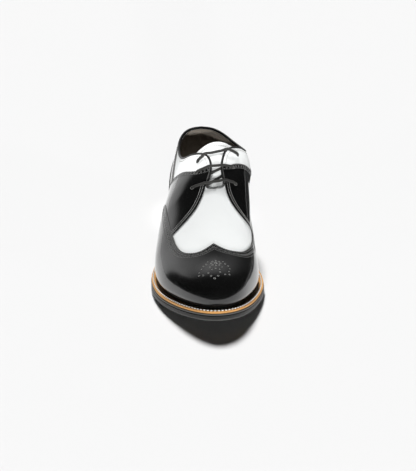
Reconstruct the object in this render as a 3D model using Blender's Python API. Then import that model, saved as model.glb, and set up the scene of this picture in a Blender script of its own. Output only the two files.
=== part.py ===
"""Two-tone wing tip shoe with open lacing, right foot.

The sizes are in millimetres in the shoe's own directions: across (lateral is
negative), along (from the back of the heel to the toe) and height above the floor.
place() turns them into metres with the toe towards -Y and the floor at Z = 0.
"""

import bmesh
import bpy
import numpy as np

MM = 0.001
CENTRE_ACROSS = -1.23
CENTRE_ALONG = 152.27

SOLE_LENGTH = 304.0
HEEL_HEIGHT = 24.0
HEEL_PITCH = 2.0
BREAST = 76.0
FLAT_START = 182.0
FLAT_END = 208.0
TOE_SPRING = 11.0
TOE_SPRING_POWER = 1.7
OUTSOLE = 7.5
WELT = 2.9
SEAT = 0.3
FEATHER_LIFT = OUTSOLE + WELT + 2 * SEAT

WALL = 2.2
OVERLAY_GAP = 0.45
OVERLAY = 1.2
OVERLAY_SEAM = 0.006
OVERLAY_FOOT = 0.015
BACK_SEAM = 0.004
INSOLE_INSET = 4.4
INSOLE = 4.6
TONGUE = 2.4
TONGUE_RADIUS = 22.0
BINDING_RADIUS = 1.25
LACE_WIDTH = 3.4
LACE_THICKNESS = 2.4
LACE_LIFT = 3.4

RIDGE_STATION = 0.565
WING_PEAK_STATION = 0.745
COUNTER_END = 0.36
WING_TAIL = 0.40
COLLAR_PANEL = (0.345, 0.484)
VAMP_START = 0.53


def table(columns, rows):
    """The rows as one array for each named column."""
    return dict(zip(columns.split(), np.array(rows, float).T))


# The line where the upper turns under, with how far the wall leans out above it.
FEATHER = table(
    "along lateral medial flare low",
    [
        (3.5, 1.0, 1.0, 12, 0.34),
        (12.0, -20.0, 22.0, 12, 0.34),
        (32.0, -29.5, 33.0, 11, 0.34),
        (64.0, -32.0, 37.5, 12, 0.35),
        (105.0, -35.0, 37.5, 15, 0.39),
        (140.0, -41.0, 38.5, 18, 0.42),
        (170.0, -47.0, 42.0, 16, 0.40),
        (195.0, -50.5, 45.3, 13, 0.37),
        (215.0, -50.0, 47.0, 11, 0.36),
        (240.0, -44.8, 43.8, 10, 0.38),
        (262.0, -35.0, 37.0, 8, 0.42),
        (280.0, -23.5, 28.5, 7, 0.46),
        (292.0, -12.0, 18.5, 6, 0.48),
        (298.5, 2.5, 2.5, 6, 0.48),
    ],
)
# The open edge from the back of the collar to the bottom of the throat.
OPEN_EDGE = table(
    "station along gap height medial_rise lean turn high",
    [
        (0.000, 8.5, 0.0, 95.0, 0.0, 78, -90, 0.33),
        (0.080, 11.8, 13.0, 94.0, 0.0, 78, -60, 0.33),
        (0.170, 24.0, 24.4, 89.5, 1.0, 78, -30, 0.33),
        (0.260, 46.0, 31.9, 84.0, 4.0, 78, -8, 0.33),
        (0.330, 67.0, 34.2, 84.0, 6.5, 70, 0, 0.34),
        (0.380, 84.0, 30.3, 91.0, 7.0, 53, 5, 0.34),
        (0.410, 94.5, 22.4, 98.5, 6.5, 38, 8, 0.32),
        (0.430, 101.0, 13.5, 101.0, 5.5, 25, 12, 0.345),
        (0.455, 110.5, 8.4, 99.4, 3.5, 16, 14, 0.37),
        (0.495, 127.0, 6.8, 93.3, 1.8, 13, 15, 0.38),
        (0.530, 143.0, 9.8, 84.0, 1.2, 17, 16, 0.37),
        (0.550, 149.0, 8.0, 80.3, 0.5, 13, 16, 0.38),
        (0.565, 151.5, 0.0, 79.3, 0.0, 0, 16, 0.40),
    ],
)
# The ridge of the vamp from the throat to the crown of the toe.
RIDGE = table(
    "station along height turn high",
    [
        (0.565, 151.5, 79.3, 16, 0.40),
        (0.600, 167.0, 72.5, 17, 0.39),
        (0.650, 190.0, 63.7, 20, 0.37),
        (0.700, 210.0, 57.8, 27, 0.37),
        (0.800, 235.5, 51.9, 46, 0.42),
        (0.900, 249.5, 49.45, 69, 0.48),
        (1.000, 254.0, 48.9, 90, 0.52),
    ],
)
MIDDLE = table(
    "along across",
    [
        (0, 1.0), (30, 4.8), (60, 10.5), (100, 13.2), (150, 10.0),
        (200, 5.5), (240, 3.5), (262, 3.0), (298.5, 2.5),
    ],
)
# How far the edge of the sole stands out from the feather line.
SOLE_EDGE = table(
    "along lateral medial",
    [
        (0, 3.0, 3.0), (40, 2.8, 2.8), (80, 2.8, 2.8), (110, 3.0, 3.2), (150, 4.2, 4.8),
        (190, 6.2, 7.9), (230, 6.8, 7.4), (270, 6.6, 6.7), (304, 5.5, 5.5),
    ],
)
# Upper edge of the heel counter, then of the wing, as a share of the wall's rib. From the
# wing's peak station on, the wing covers the whole rib.
WING_EDGE = table(
    "station lateral medial",
    [
        (0.000, 0.80, 0.80), (0.060, 0.78, 0.78), (0.120, 0.70, 0.70), (0.200, 0.50, 0.50),
        (0.270, 0.28, 0.28), (0.330, 0.10, 0.10), (0.360, 0.035, 0.035), (0.380, 0.025, 0.025),
        (0.400, 0.04, 0.04), (0.420, 0.13, 0.12), (0.440, 0.25, 0.21), (0.470, 0.39, 0.28),
        (0.511, 0.465, 0.315), (0.565, 0.495, 0.345), (0.616, 0.516, 0.395), (0.655, 0.532, 0.468),
        (0.690, 0.565, 0.545), (0.718, 0.628, 0.635), (0.745, 0.70, 0.70), (0.800, 0.71, 0.71),
        (1.000, 0.71, 0.71),
    ],
)
# Upper edge of the quarter: under the collar panel, then its front edge over the vamp. Past
# the quarter's end the line runs on over the vamp.
QUARTER_EDGE = {
    "lateral": table(
        "station share",
        [
            (0.000, 0.90), (0.270, 0.88), (0.345, 0.84), (0.360, 0.76), (0.380, 0.65), (0.400, 0.605),
            (0.420, 0.62), (0.440, 0.70), (0.460, 0.785), (0.484, 0.88), (0.507, 0.94), (0.530, 0.975),
            (0.550, 0.94), (0.565, 0.88), (0.578, 0.83), (0.588, 0.79), (0.602, 0.71), (0.613, 0.64),
            (0.635, 0.69), (0.675, 0.75), (0.718, 0.82), (0.745, 0.86), (1.000, 0.86),
        ],
    ),
    "medial": table(
        "station share",
        [
            (0.000, 0.90), (0.270, 0.88), (0.345, 0.85), (0.360, 0.78), (0.380, 0.68), (0.400, 0.64),
            (0.420, 0.69), (0.440, 0.765), (0.460, 0.85), (0.484, 0.91), (0.507, 0.95), (0.530, 0.975),
            (0.550, 0.93), (0.565, 0.84), (0.572, 0.78), (0.588, 0.72), (0.613, 0.70),
            (0.635, 0.71), (0.675, 0.75), (0.718, 0.82), (0.745, 0.86), (1.000, 0.86),
        ],
    ),
}
QUARTER_END = {"lateral": 0.613, "medial": 0.572}
STATIONS = np.array([
    0, 0.035, 0.07, 0.11, 0.16, 0.2, 0.235, 0.27, 0.31, 0.345, 0.36, 0.38, 0.4, 0.42, 0.44,
    0.46, 0.484, 0.507, 0.53, 0.55, 0.565, 0.572, 0.588, 0.602, 0.613, 0.635, 0.655, 0.675, 0.69,
    0.705, 0.72, 0.733, 0.745, 0.775, 0.81, 0.84, 0.87, 0.9, 0.935, 0.97, 1,
])
TONGUE_LINE = table(
    "along height half_width tilt",
    [
        (167, 66.2, 14, 0), (151.5, 73.4, 16, 0.01), (140, 80.6, 17, 0.04), (127, 87.6, 17.5, 0.05),
        (112, 94.6, 19.5, 0.08), (100, 100.2, 22, 0.12), (89, 107.2, 22, 0.12),
    ],
)
EYELETS = table(
    "lateral_station lateral_share medial_station medial_share",
    [
        (0.445, 0.885, 0.430, 0.873),
        (0.481, 0.858, 0.476, 0.880),
        (0.521, 0.845, 0.515, 0.843),
    ],
)
# Where each lace bar crosses the edges of the facings.
LACE_CROSSINGS = table(
    "lateral_station medial_station",
    [(0.437, 0.436), (0.484, 0.487), (0.528, 0.524)],
)

SIDES = {"lateral": -1, "medial": 1}


def curve_through(knots, values):
    """Natural cubic curve through the given values."""
    x = np.array(knots, float)
    y = np.array(values, float)
    step = np.diff(x)
    count = len(x)
    matrix = np.eye(count)
    right = np.zeros(count)
    for i in range(1, count - 1):
        matrix[i, i - 1 : i + 2] = step[i - 1], 2 * (step[i - 1] + step[i]), step[i]
        right[i] = 6 * ((y[i + 1] - y[i]) / step[i] - (y[i] - y[i - 1]) / step[i - 1])
    bend = np.linalg.solve(matrix, right)

    def at(value):
        t = np.clip(np.asarray(value, float), x[0], x[-1])
        i = np.clip(np.searchsorted(x, t) - 1, 0, count - 2)
        before = t - x[i]
        after = x[i + 1] - t
        curved = (bend[i] * after**3 + bend[i + 1] * before**3) / (6 * step[i])
        start = (y[i] / step[i] - bend[i] * step[i] / 6) * after
        end = (y[i + 1] / step[i] - bend[i + 1] * step[i] / 6) * before
        return curved + start + end

    return at


def along_at(station):
    """Distance along the feather line: stations crowd towards the back and the toe."""
    back, tip = FEATHER["along"][[0, -1]]
    return back + (tip - back) * (1 - np.cos(np.pi * station)) / 2


def station_at(along):
    back, tip = FEATHER["along"][[0, -1]]
    return np.arccos(np.clip(1 - 2 * (along - back) / (tip - back), -1, 1)) / np.pi


FEATHER_STATIONS = station_at(FEATHER["along"])
feather_across = {side: curve_through(FEATHER_STATIONS, FEATHER[side]) for side in SIDES}
flare_at = curve_through(FEATHER["along"], FEATHER["flare"])
low_at = curve_through(FEATHER["along"], FEATHER["low"])
middle_at = curve_through(MIDDLE["along"], MIDDLE["across"])
ridge_height = curve_through(RIDGE["along"], RIDGE["height"])
ridge_along = curve_through(along_at(RIDGE["station"]), RIDGE["along"])
ridge_turn = curve_through(RIDGE["station"], RIDGE["turn"])
ridge_high = curve_through(RIDGE["station"], RIDGE["high"])
open_edge = {
    name: curve_through(OPEN_EDGE["station"], values) for name, values in OPEN_EDGE.items()
}
sole_reach = {side: curve_through(SOLE_EDGE["along"], SOLE_EDGE[side]) for side in SIDES}
SOLE_BREAKS = station_at(np.array([BREAST, FLAT_START, FLAT_END]))
SHANK_STATIONS = np.linspace(0.44, 0.55, 7)
SOLE_STATIONS = np.unique(
    np.concatenate([np.linspace(0, 0.42, 13), SHANK_STATIONS, SOLE_BREAKS, np.linspace(0.65, 1, 13)])
)


def sole_bottom(along):
    """Height of the outsole's underside: heel seat, shank, flat tread and toe spring."""
    along = np.asarray(along, float)
    seat = HEEL_HEIGHT - HEEL_PITCH * along / BREAST
    run = FLAT_START - BREAST
    u = np.clip((along - BREAST) / run, 0, 1)
    breast_height = HEEL_HEIGHT - HEEL_PITCH
    breast_slope = -HEEL_PITCH / BREAST * run
    shank = breast_height * (1 + 2 * u) * (1 - u) ** 2 + breast_slope * u * (1 - u) ** 2
    rise = np.clip((along - FLAT_END) / (SOLE_LENGTH - FLAT_END), 0, None)
    toe = TOE_SPRING * rise**TOE_SPRING_POWER
    return np.where(along < BREAST, seat, np.where(along < FLAT_START, shank, toe))


def outward_at(side, station):
    """Direction in plan, (across, along), square to the feather line and away from the foot."""
    near = np.clip(station - 1e-4, 0, 1)
    far = np.clip(station + 1e-4, 0, 1)
    across = feather_across[side](far) - feather_across[side](near)
    along = along_at(far) - along_at(near)
    length = np.hypot(across, along)
    at_end = (near == station) | (far == station)
    return (
        np.where(at_end, 0.0, SIDES[side] * along / length),
        -SIDES[side] * across / length,
    )


def top_of_rib(side, station):
    """(point, end direction, handle share) where a rib of the upper ends."""
    behind = station < RIDGE_STATION
    edge = {name: curve(station) for name, curve in open_edge.items()}
    on_ridge = ridge_along(along_at(station))
    rise = edge["medial_rise"] if side == "medial" else 0.0
    along = np.where(behind, edge["along"], on_ridge)
    across = middle_at(along) + np.where(behind, SIDES[side] * edge["gap"], 0.0)
    height = np.where(behind, edge["height"] + rise, ridge_height(on_ridge))
    lean = np.radians(np.where(behind, edge["lean"], 0.0))
    turn = np.radians(np.where(behind, edge["turn"], ridge_turn(station)))
    high = np.where(behind, edge["high"], ridge_high(station))
    near = np.clip(along, RIDGE["along"][0], RIDGE["along"][-1] - 0.5)
    slope = ridge_height(near + 0.5) - ridge_height(near - 0.5)
    slope = np.where(turn < 0, 0.0, slope)
    back_along = -1 / np.hypot(1, slope)
    inward = np.stack(
        [
            -SIDES[side] * np.cos(turn),
            np.sin(turn) * back_along,
            np.sin(turn) * back_along * slope,
        ],
        -1,
    )
    direction = np.cos(lean)[..., None] * inward
    direction[..., 2] += np.sin(lean)
    return np.stack([across, along, height], -1), direction, high


def upper_face(side, station, share):
    """Points on the outside of the upper: share runs up the rib from the feather line."""
    station, share = np.broadcast_arrays(np.asarray(station, float), np.asarray(share, float))
    along = along_at(station)
    foot = np.stack(
        [feather_across[side](station), along, sole_bottom(along) + FEATHER_LIFT], -1
    )
    top, end, high = top_of_rib(side, station)
    flare = np.radians(flare_at(along))
    out_across, out_along = outward_at(side, station)
    start = np.stack(
        [np.sin(flare) * out_across, np.sin(flare) * out_along, np.cos(flare)], -1
    )
    chord = np.linalg.norm(top - foot, axis=-1)
    low_handle = foot + (low_at(along) * chord)[..., None] * start
    high_handle = top - (high * chord)[..., None] * end
    t = share[..., None]
    return (
        foot * (1 - t) ** 3
        + 3 * low_handle * (1 - t) ** 2 * t
        + 3 * high_handle * (1 - t) * t**2
        + top * t**3
    )


def upper_normal(side, station, share):
    """Unit directions out of the upper at these places."""
    step = 1e-3
    before = np.clip(np.asarray(share, float) - step, 0, 1)
    after = np.clip(np.asarray(share, float) + step, 0, 1)
    up = upper_face(side, station, after) - upper_face(side, station, before)
    forward = upper_face(side, np.asarray(station) + step, share) - upper_face(
        side, np.asarray(station) - step, share
    )
    normal = np.cross(forward, up) * SIDES[side]
    return normal / np.linalg.norm(normal, axis=-1, keepdims=True)


def place(points):
    points = np.asarray(points, float)
    moved = np.stack(
        [points[:, 0] - CENTRE_ACROSS, CENTRE_ALONG - points[:, 1], points[:, 2]], -1
    )
    return moved * MM


def leather(name, colour, roughness):
    material = bpy.data.materials.new(name)
    material.use_nodes = True
    shader = material.node_tree.nodes["Principled BSDF"]
    shader.inputs["Base Color"].default_value = (*colour, 1)
    shader.inputs["Roughness"].default_value = roughness
    return material


def add_part(name, points, faces, material):
    """A named closed mesh under the shoe's empty."""
    mesh = bpy.data.meshes.new(name)
    mesh.from_pydata(place(points).tolist(), [], faces)
    work = bmesh.new()
    work.from_mesh(mesh)
    bmesh.ops.recalc_face_normals(work, faces=work.faces)
    work.to_mesh(mesh)
    work.free()
    mesh.materials.append(material)
    part = bpy.data.objects.new(name, mesh)
    bpy.context.scene.collection.objects.link(part)
    part.parent = shoe
    return part


def joined(patches):
    """Patches of points and faces as one mesh: equal points become one, empty faces go."""
    points = np.concatenate([patch[0] for patch in patches])
    keys = np.round(points, 4)
    _, first, index = np.unique(keys, axis=0, return_index=True, return_inverse=True)
    index = index.reshape(-1)
    faces = []
    start = 0
    for patch_points, patch_faces in patches:
        for face in patch_faces:
            corners = list(dict.fromkeys(int(index[start + corner]) for corner in face))
            if len(corners) > 2:
                faces.append(corners)
        start += len(patch_points)
    return points[first], faces


def shell(patches, inner, outer):
    """A closed sheet between two distances out from the patches' surface."""
    points, faces = joined(patches)
    normals = np.zeros_like(points)
    for face in faces:
        corners = points[face]
        normals[face] += np.cross(corners[2] - corners[0], corners[-1] - corners[1])
    normals /= np.linalg.norm(normals, axis=1, keepdims=True)
    count = len(points)
    sides = {}
    for face in faces:
        for a, b in zip(face, face[1:] + face[:1]):
            sides[(a, b)] = (b, a) not in sides
            if (b, a) in sides:
                sides[(b, a)] = False
    solid = [list(face) for face in faces]
    solid += [[corner + count for corner in reversed(face)] for face in faces]
    solid += [[b, a, a + count, b + count] for (a, b), alone in sides.items() if alone]
    return np.concatenate([points + outer * normals, points + inner * normals]), solid


def zone(side, stations, low, high, rows):
    """One patch of the upper between two shares of its ribs."""
    stations = np.array(stations, float)
    part = np.linspace(0, 1, rows + 1)
    share = low[:, None] + (high - low)[:, None] * part
    points = upper_face(side, stations[:, None], share).reshape(-1, 3)
    faces = []
    for i in range(len(stations) - 1):
        for j in range(rows):
            a = i * (rows + 1) + j
            b = a + rows + 1
            for face in ([a, b, b + 1], [a, b + 1, a + 1]):
                faces.append(face if side == "medial" else face[::-1])
    return points, faces


def stations_between(start, end):
    return STATIONS[(STATIONS >= start) & (STATIONS <= end)]


def wing_edge(side, stations):
    return np.interp(stations, WING_EDGE["station"], WING_EDGE[side])


def quarter_edge(side, stations):
    edge = QUARTER_EDGE[side]
    return np.interp(stations, edge["station"], edge["share"])


def foot_zone(side, start, end, foot):
    """The lower patch: heel counter and wing."""
    stations = stations_between(start, end)
    low = np.full(len(stations), foot)
    return zone(side, stations, low, wing_edge(side, stations), FOOT_ROWS)


def quarter_zone(side, start, end, seam):
    """The middle patch, from the wing's edge to the quarter's."""
    stations = np.maximum(stations_between(0, end), start)
    stations = stations[np.append(np.diff(stations) > 0, True)]
    low = wing_edge(side, stations) + seam
    return zone(side, stations, low, quarter_edge(side, stations), QUARTER_ROWS)


def top_zone(side, start, end):
    """The patch above: collar panel, facing and vamp."""
    stations = np.maximum(stations_between(0, end), start)
    stations = stations[np.append(np.diff(stations) > 0, True)]
    low = quarter_edge(side, stations)
    return zone(side, stations, low, np.ones(len(stations)), TOP_ROWS)


def sole_ring(stations, reach):
    """Closed outline: up the lateral side and back down the medial one."""
    lines = []
    for side in SIDES:
        out_across, out_along = outward_at(side, stations)
        past = reach(side, stations)
        lines.append(
            np.stack(
                [
                    feather_across[side](stations) + out_across * past,
                    along_at(stations) + out_along * past,
                ],
                -1,
            )
        )
    return lines


def layers(rings, heights, capped):
    """Solid through outlines stacked from bottom to top, or a closed hoop if not capped."""
    points = []
    for (lateral, medial), height in zip(rings, heights):
        ring = np.concatenate([lateral, medial[-2:0:-1]])
        points.append(np.column_stack([ring, height(ring[:, 1])]))
    size = len(points[0])
    count = len(points)
    faces = []
    for level in range(count - 1 if capped else count):
        upper_level = (level + 1) % count
        for i in range(size):
            k = (i + 1) % size
            faces.append(
                [level * size + i, level * size + k, upper_level * size + k, upper_level * size + i]
            )
    if capped:
        last = size // 2
        for start in (0, (count - 1) * size):
            for i in range(last):
                face = [i, i + 1, (size - i - 1) % size, (size - i) % size]
                faces.append(list(dict.fromkeys(start + corner for corner in face)))
    return np.concatenate(points), faces


def tube(path, half_width, half_thickness, ups, sides):
    """Closed oval cord along a path; ups give the direction of its thin side."""
    path = np.asarray(path, float)
    ahead = np.gradient(path, axis=0)
    ahead /= np.linalg.norm(ahead, axis=1, keepdims=True)
    wide = np.cross(ahead, ups)
    wide /= np.linalg.norm(wide, axis=1, keepdims=True)
    thin = np.cross(wide, ahead)
    angle = np.arange(sides) * 2 * np.pi / sides
    ring = (
        half_width * np.cos(angle)[None, :, None] * wide[:, None]
        + half_thickness * np.sin(angle)[None, :, None] * thin[:, None]
    )
    points = (path[:, None] + ring).reshape(-1, 3)
    faces = []
    for i in range(len(path) - 1):
        for j in range(sides):
            k = (j + 1) % sides
            faces.append(
                [i * sides + j, i * sides + k, (i + 1) * sides + k, (i + 1) * sides + j]
            )
    faces.append(list(range(sides)))
    faces.append([(len(path) - 1) * sides + j for j in range(sides)])
    return points, faces


for old in list(bpy.data.objects):
    bpy.data.objects.remove(old, do_unlink=True)
shoe = bpy.data.objects.new("shoe", None)
bpy.context.scene.collection.objects.link(shoe)

BLACK = leather("black_leather", (0.012, 0.012, 0.012), 0.28)
WHITE = leather("white_leather", (0.86, 0.87, 0.86), 0.42)
SOLE_BLACK = leather("sole_black", (0.016, 0.015, 0.015), 0.5)
TAN = leather("welt_tan", (0.55, 0.31, 0.13), 0.6)
LINING = leather("insole_brown", (0.07, 0.055, 0.045), 0.75)
LACE = leather("lace_grey", (0.03, 0.03, 0.03), 0.8)

# Outsole: chamfered tread edge, straight side, groove and top bead.
OUTSOLE_PROFILE = table(
    "inset height",
    [(1.6, 0), (0.3, 1.0), (0.0, 2.2), (0.3, 4.9), (1.0, 5.5), (0.2, 6.1), (0.2, 6.9), (1.0, OUTSOLE)],
)
add_part(
    "outsole",
    *layers(
        [
            sole_ring(SOLE_STATIONS, lambda side, s, cut=inset: sole_reach[side](along_at(s)) - cut)
            for inset in OUTSOLE_PROFILE["inset"]
        ],
        [lambda along, up=up: sole_bottom(along) + up for up in OUTSOLE_PROFILE["height"]],
        True,
    ),
    SOLE_BLACK,
)

# Heel: stacked block under the seat, with a groove above its top piece.
HEEL_PROFILE = table(
    "inset part", [(2.4, 0), (2.0, 0.26), (2.7, 0.285), (1.9, 0.31), (1.2, 1)]
)
HEEL_STATIONS = np.linspace(0, station_at(BREAST), 13)
add_part(
    "heel",
    *layers(
        [
            sole_ring(HEEL_STATIONS, lambda side, s, cut=inset: sole_reach[side](along_at(s)) - cut)
            for inset in HEEL_PROFILE["inset"]
        ],
        [lambda along, part=part: part * (sole_bottom(along) - SEAT) for part in HEEL_PROFILE["part"]],
        True,
    ),
    SOLE_BLACK,
)

# Welt: hoop round the feather line, a little inside the outsole's edge.
WELT_PROFILE = table(
    "past_feather inset height",
    [(-4.0, 0, 0), (0, 1.4, 0), (0, 0.9, 0.8), (0, 0.9, 2.2), (0, 1.6, WELT), (-4.0, 0, WELT)],
)


def welt_reach(past, inset):
    def reach(side, stations):
        edge = sole_reach[side](along_at(stations)) - inset
        return np.full(len(stations), past) if past else edge

    return reach


add_part(
    "welt",
    *layers(
        [
            sole_ring(SOLE_STATIONS, welt_reach(past, inset))
            for past, inset in zip(WELT_PROFILE["past_feather"], WELT_PROFILE["inset"])
        ],
        [
            lambda along, up=up: sole_bottom(along) + OUTSOLE + SEAT + up
            for up in WELT_PROFILE["height"]
        ],
        False,
    ),
    TAN,
)

# Insole: plate on the outsole, inside the welt.
add_part(
    "insole",
    *layers(
        [sole_ring(SOLE_STATIONS, lambda side, s: np.full(len(s), -INSOLE_INSET))] * 2,
        [
            lambda along: sole_bottom(along) + OUTSOLE + SEAT,
            lambda along: sole_bottom(along) + OUTSOLE + SEAT + INSOLE,
        ],
        True,
    ),
    LINING,
)

# Upper: one hollow wall over the last.
FOOT_ROWS = 5
QUARTER_ROWS = 4
TOP_ROWS = 3
upper_patches = []
for side in SIDES:
    upper_patches += [
        foot_zone(side, 0, 1, 0.0),
        quarter_zone(side, 0, 1, 0.0),
        top_zone(side, 0, 1),
    ]
add_part("upper", *shell(upper_patches, -WALL, 0), WHITE)

# Overlays: wing tip, heel counter and the two quarters.
overlay = (OVERLAY_GAP, OVERLAY_GAP + OVERLAY)
wing = []
for side in SIDES:
    wing += [
        foot_zone(side, WING_TAIL, 1, OVERLAY_FOOT),
        quarter_zone(side, WING_PEAK_STATION, 1, 0.0),
        top_zone(side, WING_PEAK_STATION, 1),
    ]
add_part("wing_tip", *shell(wing, *overlay), BLACK)
counter = [foot_zone(side, 0, COUNTER_END, OVERLAY_FOOT) for side in SIDES]
add_part("heel_counter", *shell(counter, *overlay), BLACK)
for side in SIDES:
    panel = [
        quarter_zone(side, BACK_SEAM, QUARTER_END[side], OVERLAY_SEAM),
        top_zone(side, BACK_SEAM, COLLAR_PANEL[0]),
        top_zone(side, COLLAR_PANEL[1], VAMP_START),
    ]
    add_part(f"quarter_{side}", *shell(panel, *overlay), BLACK)

# Binding: rolled edge round the collar and down the facings.
edge_path = []
edge_up = []
for side, order in (("lateral", -1), ("medial", 1)):
    stations = stations_between(0 if side == "lateral" else 0.01, VAMP_START)
    top, end, _ = top_of_rib(side, stations)
    out = upper_normal(side, np.clip(stations, 0.002, 1), np.full(len(stations), 0.998))
    centre = top - 0.5 * WALL * out + (BINDING_RADIUS + 2.5 * SEAT) * end
    edge_path.append(centre[::order])
    edge_up.append(out[::order])
binding = tube(
    np.concatenate(edge_path), BINDING_RADIUS, BINDING_RADIUS, np.concatenate(edge_up), 6
)
add_part("binding", *binding, BLACK)

# Tongue: curved sheet under the facings and the lower edge of the throat.
tongue_height = curve_through(-TONGUE_LINE["along"], TONGUE_LINE["height"])
tongue_half = curve_through(-TONGUE_LINE["along"], TONGUE_LINE["half_width"])
tongue_tilt = curve_through(-TONGUE_LINE["along"], TONGUE_LINE["tilt"])
LENGTHWAYS = np.linspace(0, 1, 14)[:, None]
ACROSS = np.linspace(-1, 1, 9)[None, :]
low_end, high_end = TONGUE_LINE["along"][[0, -1]]
tongue_along = low_end + (high_end - low_end) * LENGTHWAYS + 9 * LENGTHWAYS**4 * ACROSS**2
tongue_off = ACROSS * tongue_half(-tongue_along)
tongue_fall = tongue_off**2 / (2 * TONGUE_RADIUS) - tongue_tilt(-tongue_along) * tongue_off
tongue_points = np.stack(
    [
        middle_at(tongue_along) + tongue_off,
        tongue_along,
        tongue_height(-tongue_along) - tongue_fall,
    ],
    -1,
)
count_across = tongue_points.shape[1]
tongue_faces = [
    [a, a + 1, a + count_across + 1, a + count_across]
    for i in range(tongue_points.shape[0] - 1)
    for a in range(i * count_across, (i + 1) * count_across - 1)
]
add_part("tongue", *shell([(tongue_points.reshape(-1, 3), tongue_faces)], -TONGUE, 0), WHITE)

# Lace: three bars over the facings with slanting runs between them, joined as one.
bars = []
for row in range(len(EYELETS["lateral_station"])):
    stops = []
    for side in ("lateral", "medial"):
        eyelet = EYELETS[f"{side}_station"][row]
        share = EYELETS[f"{side}_share"][row]
        edge = LACE_CROSSINGS[f"{side}_station"][row]
        line = []
        for part in (0.0, 0.35, 0.7, 1.0):
            station = eyelet + (edge - eyelet) * part
            up_rib = share + (0.995 - share) * part
            out = upper_normal(side, station, up_rib)
            line.append(upper_face(side, station, up_rib) + LACE_LIFT * out)
        stops.append(line)
    stops = np.array(stops[0] + stops[1][::-1])
    reach = np.concatenate([[0], np.cumsum(np.linalg.norm(np.diff(stops, axis=0), axis=1))])
    way = [curve_through(reach, stops[:, k]) for k in range(3)]
    spots = np.linspace(0, reach[-1], 13)
    bars.append(np.stack([bend(spots) for bend in way], -1))
RISING = np.array([0.0, -0.45, 0.9])
runs = []
for upper_bar, lower_bar in zip(bars, bars[1:]):
    start = lower_bar[4]
    end = upper_bar[8]
    part = np.linspace(0, 1, 6)[:, None]
    dip = 4 * part * (1 - part) * 1.0
    runs.append(start + (end - start) * part - dip * RISING)
pieces = []
for number, path in enumerate(bars + runs):
    solid = tube(
        path, LACE_WIDTH / 2, LACE_THICKNESS / 2, np.tile(RISING, (len(path), 1)), 8
    )
    pieces.append(add_part("lace" if number == 0 else f"lace_run_{number}", *solid, LACE))
for piece in pieces[1:]:
    piece.hide_render = True
    piece.display_type = "WIRE"
for piece in (pieces[3], pieces[1], pieces[4], pieces[2]):
    join = pieces[0].modifiers.new(piece.name, "BOOLEAN")
    join.operation = "UNION"
    join.solver = "EXACT"
    join.object = piece
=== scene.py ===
import bmesh
import bpy
import numpy as np
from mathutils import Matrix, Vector
from mathutils.geometry import delaunay_2d_cdt


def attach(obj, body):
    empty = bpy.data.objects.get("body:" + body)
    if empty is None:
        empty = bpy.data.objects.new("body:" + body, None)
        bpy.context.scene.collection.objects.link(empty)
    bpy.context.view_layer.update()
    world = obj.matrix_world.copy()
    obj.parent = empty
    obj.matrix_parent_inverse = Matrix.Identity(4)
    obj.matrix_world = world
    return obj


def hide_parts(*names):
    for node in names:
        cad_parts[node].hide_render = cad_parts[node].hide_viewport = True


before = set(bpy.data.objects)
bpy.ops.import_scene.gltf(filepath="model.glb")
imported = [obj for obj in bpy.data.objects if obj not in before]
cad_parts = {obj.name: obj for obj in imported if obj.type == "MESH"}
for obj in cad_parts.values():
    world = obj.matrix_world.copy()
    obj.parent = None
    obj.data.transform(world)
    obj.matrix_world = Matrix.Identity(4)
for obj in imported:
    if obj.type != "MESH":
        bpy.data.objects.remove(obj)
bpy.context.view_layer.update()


# Outsole: one plate of sole leather, cut to the outline of the last with an arch and a
# toe spring. Its edge is trimmed with a groove under a top bead, then waxed black.
def table(columns, rows):
    """The rows as one array for each named column."""
    return dict(zip(columns.split(), np.array(rows, float).T))


def curve_through(knots, values):
    """Natural cubic curve through the given values."""
    x = np.array(knots, float)
    y = np.array(values, float)
    step = np.diff(x)
    count = len(x)
    matrix = np.eye(count)
    right = np.zeros(count)
    for i in range(1, count - 1):
        matrix[i, i - 1 : i + 2] = step[i - 1], 2 * (step[i - 1] + step[i]), step[i]
        right[i] = 6 * ((y[i + 1] - y[i]) / step[i] - (y[i] - y[i - 1]) / step[i - 1])
    bend = np.linalg.solve(matrix, right)

    def at(value):
        t = np.clip(np.asarray(value, float), x[0], x[-1])
        i = np.clip(np.searchsorted(x, t) - 1, 0, count - 2)
        before = t - x[i]
        after = x[i + 1] - t
        curved = (bend[i] * after**3 + bend[i + 1] * before**3) / (6 * step[i])
        start = (y[i] / step[i] - bend[i] * step[i] / 6) * after
        end = (y[i + 1] / step[i] - bend[i + 1] * step[i] / 6) * before
        return curved + start + end

    return at


SIDES = {"lateral": -1, "medial": 1}
SOLE_LENGTH, HEEL_HEIGHT, HEEL_PITCH, BREAST = 304.0, 24.0, 2.0, 76.0
FLAT_START, FLAT_END, TOE_SPRING, TOE_SPRING_POWER = 182.0, 208.0, 11.0, 1.7
OUTSOLE, WELT, SEAT = 7.5, 2.9, 0.3
FEATHER = table(
    "along lateral medial flare low",
    [
        (3.5, 1.0, 1.0, 12, 0.34), (12, -20, 22, 12, 0.34), (32, -29.5, 33, 11, 0.34),
        (64, -32, 37.5, 12, 0.35), (105, -35, 37.5, 15, 0.39), (140, -41, 38.5, 18, 0.42),
        (170, -47, 42, 16, 0.40), (195, -50.5, 45.3, 13, 0.37), (215, -50, 47, 11, 0.36),
        (240, -44.8, 43.8, 10, 0.38), (262, -35, 37, 8, 0.42), (280, -23.5, 28.5, 7, 0.46),
        (292, -12, 18.5, 6, 0.48), (298.5, 2.5, 2.5, 6, 0.48),
    ],
)
SOLE_EDGE = table(
    "along lateral medial",
    [
        (0, 3.0, 3.0), (40, 2.8, 2.8), (80, 2.8, 2.8), (110, 3.0, 3.2), (150, 4.2, 4.8),
        (190, 6.2, 7.9), (230, 6.8, 7.4), (270, 6.6, 6.7), (304, 5.5, 5.5),
    ],
)


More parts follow.
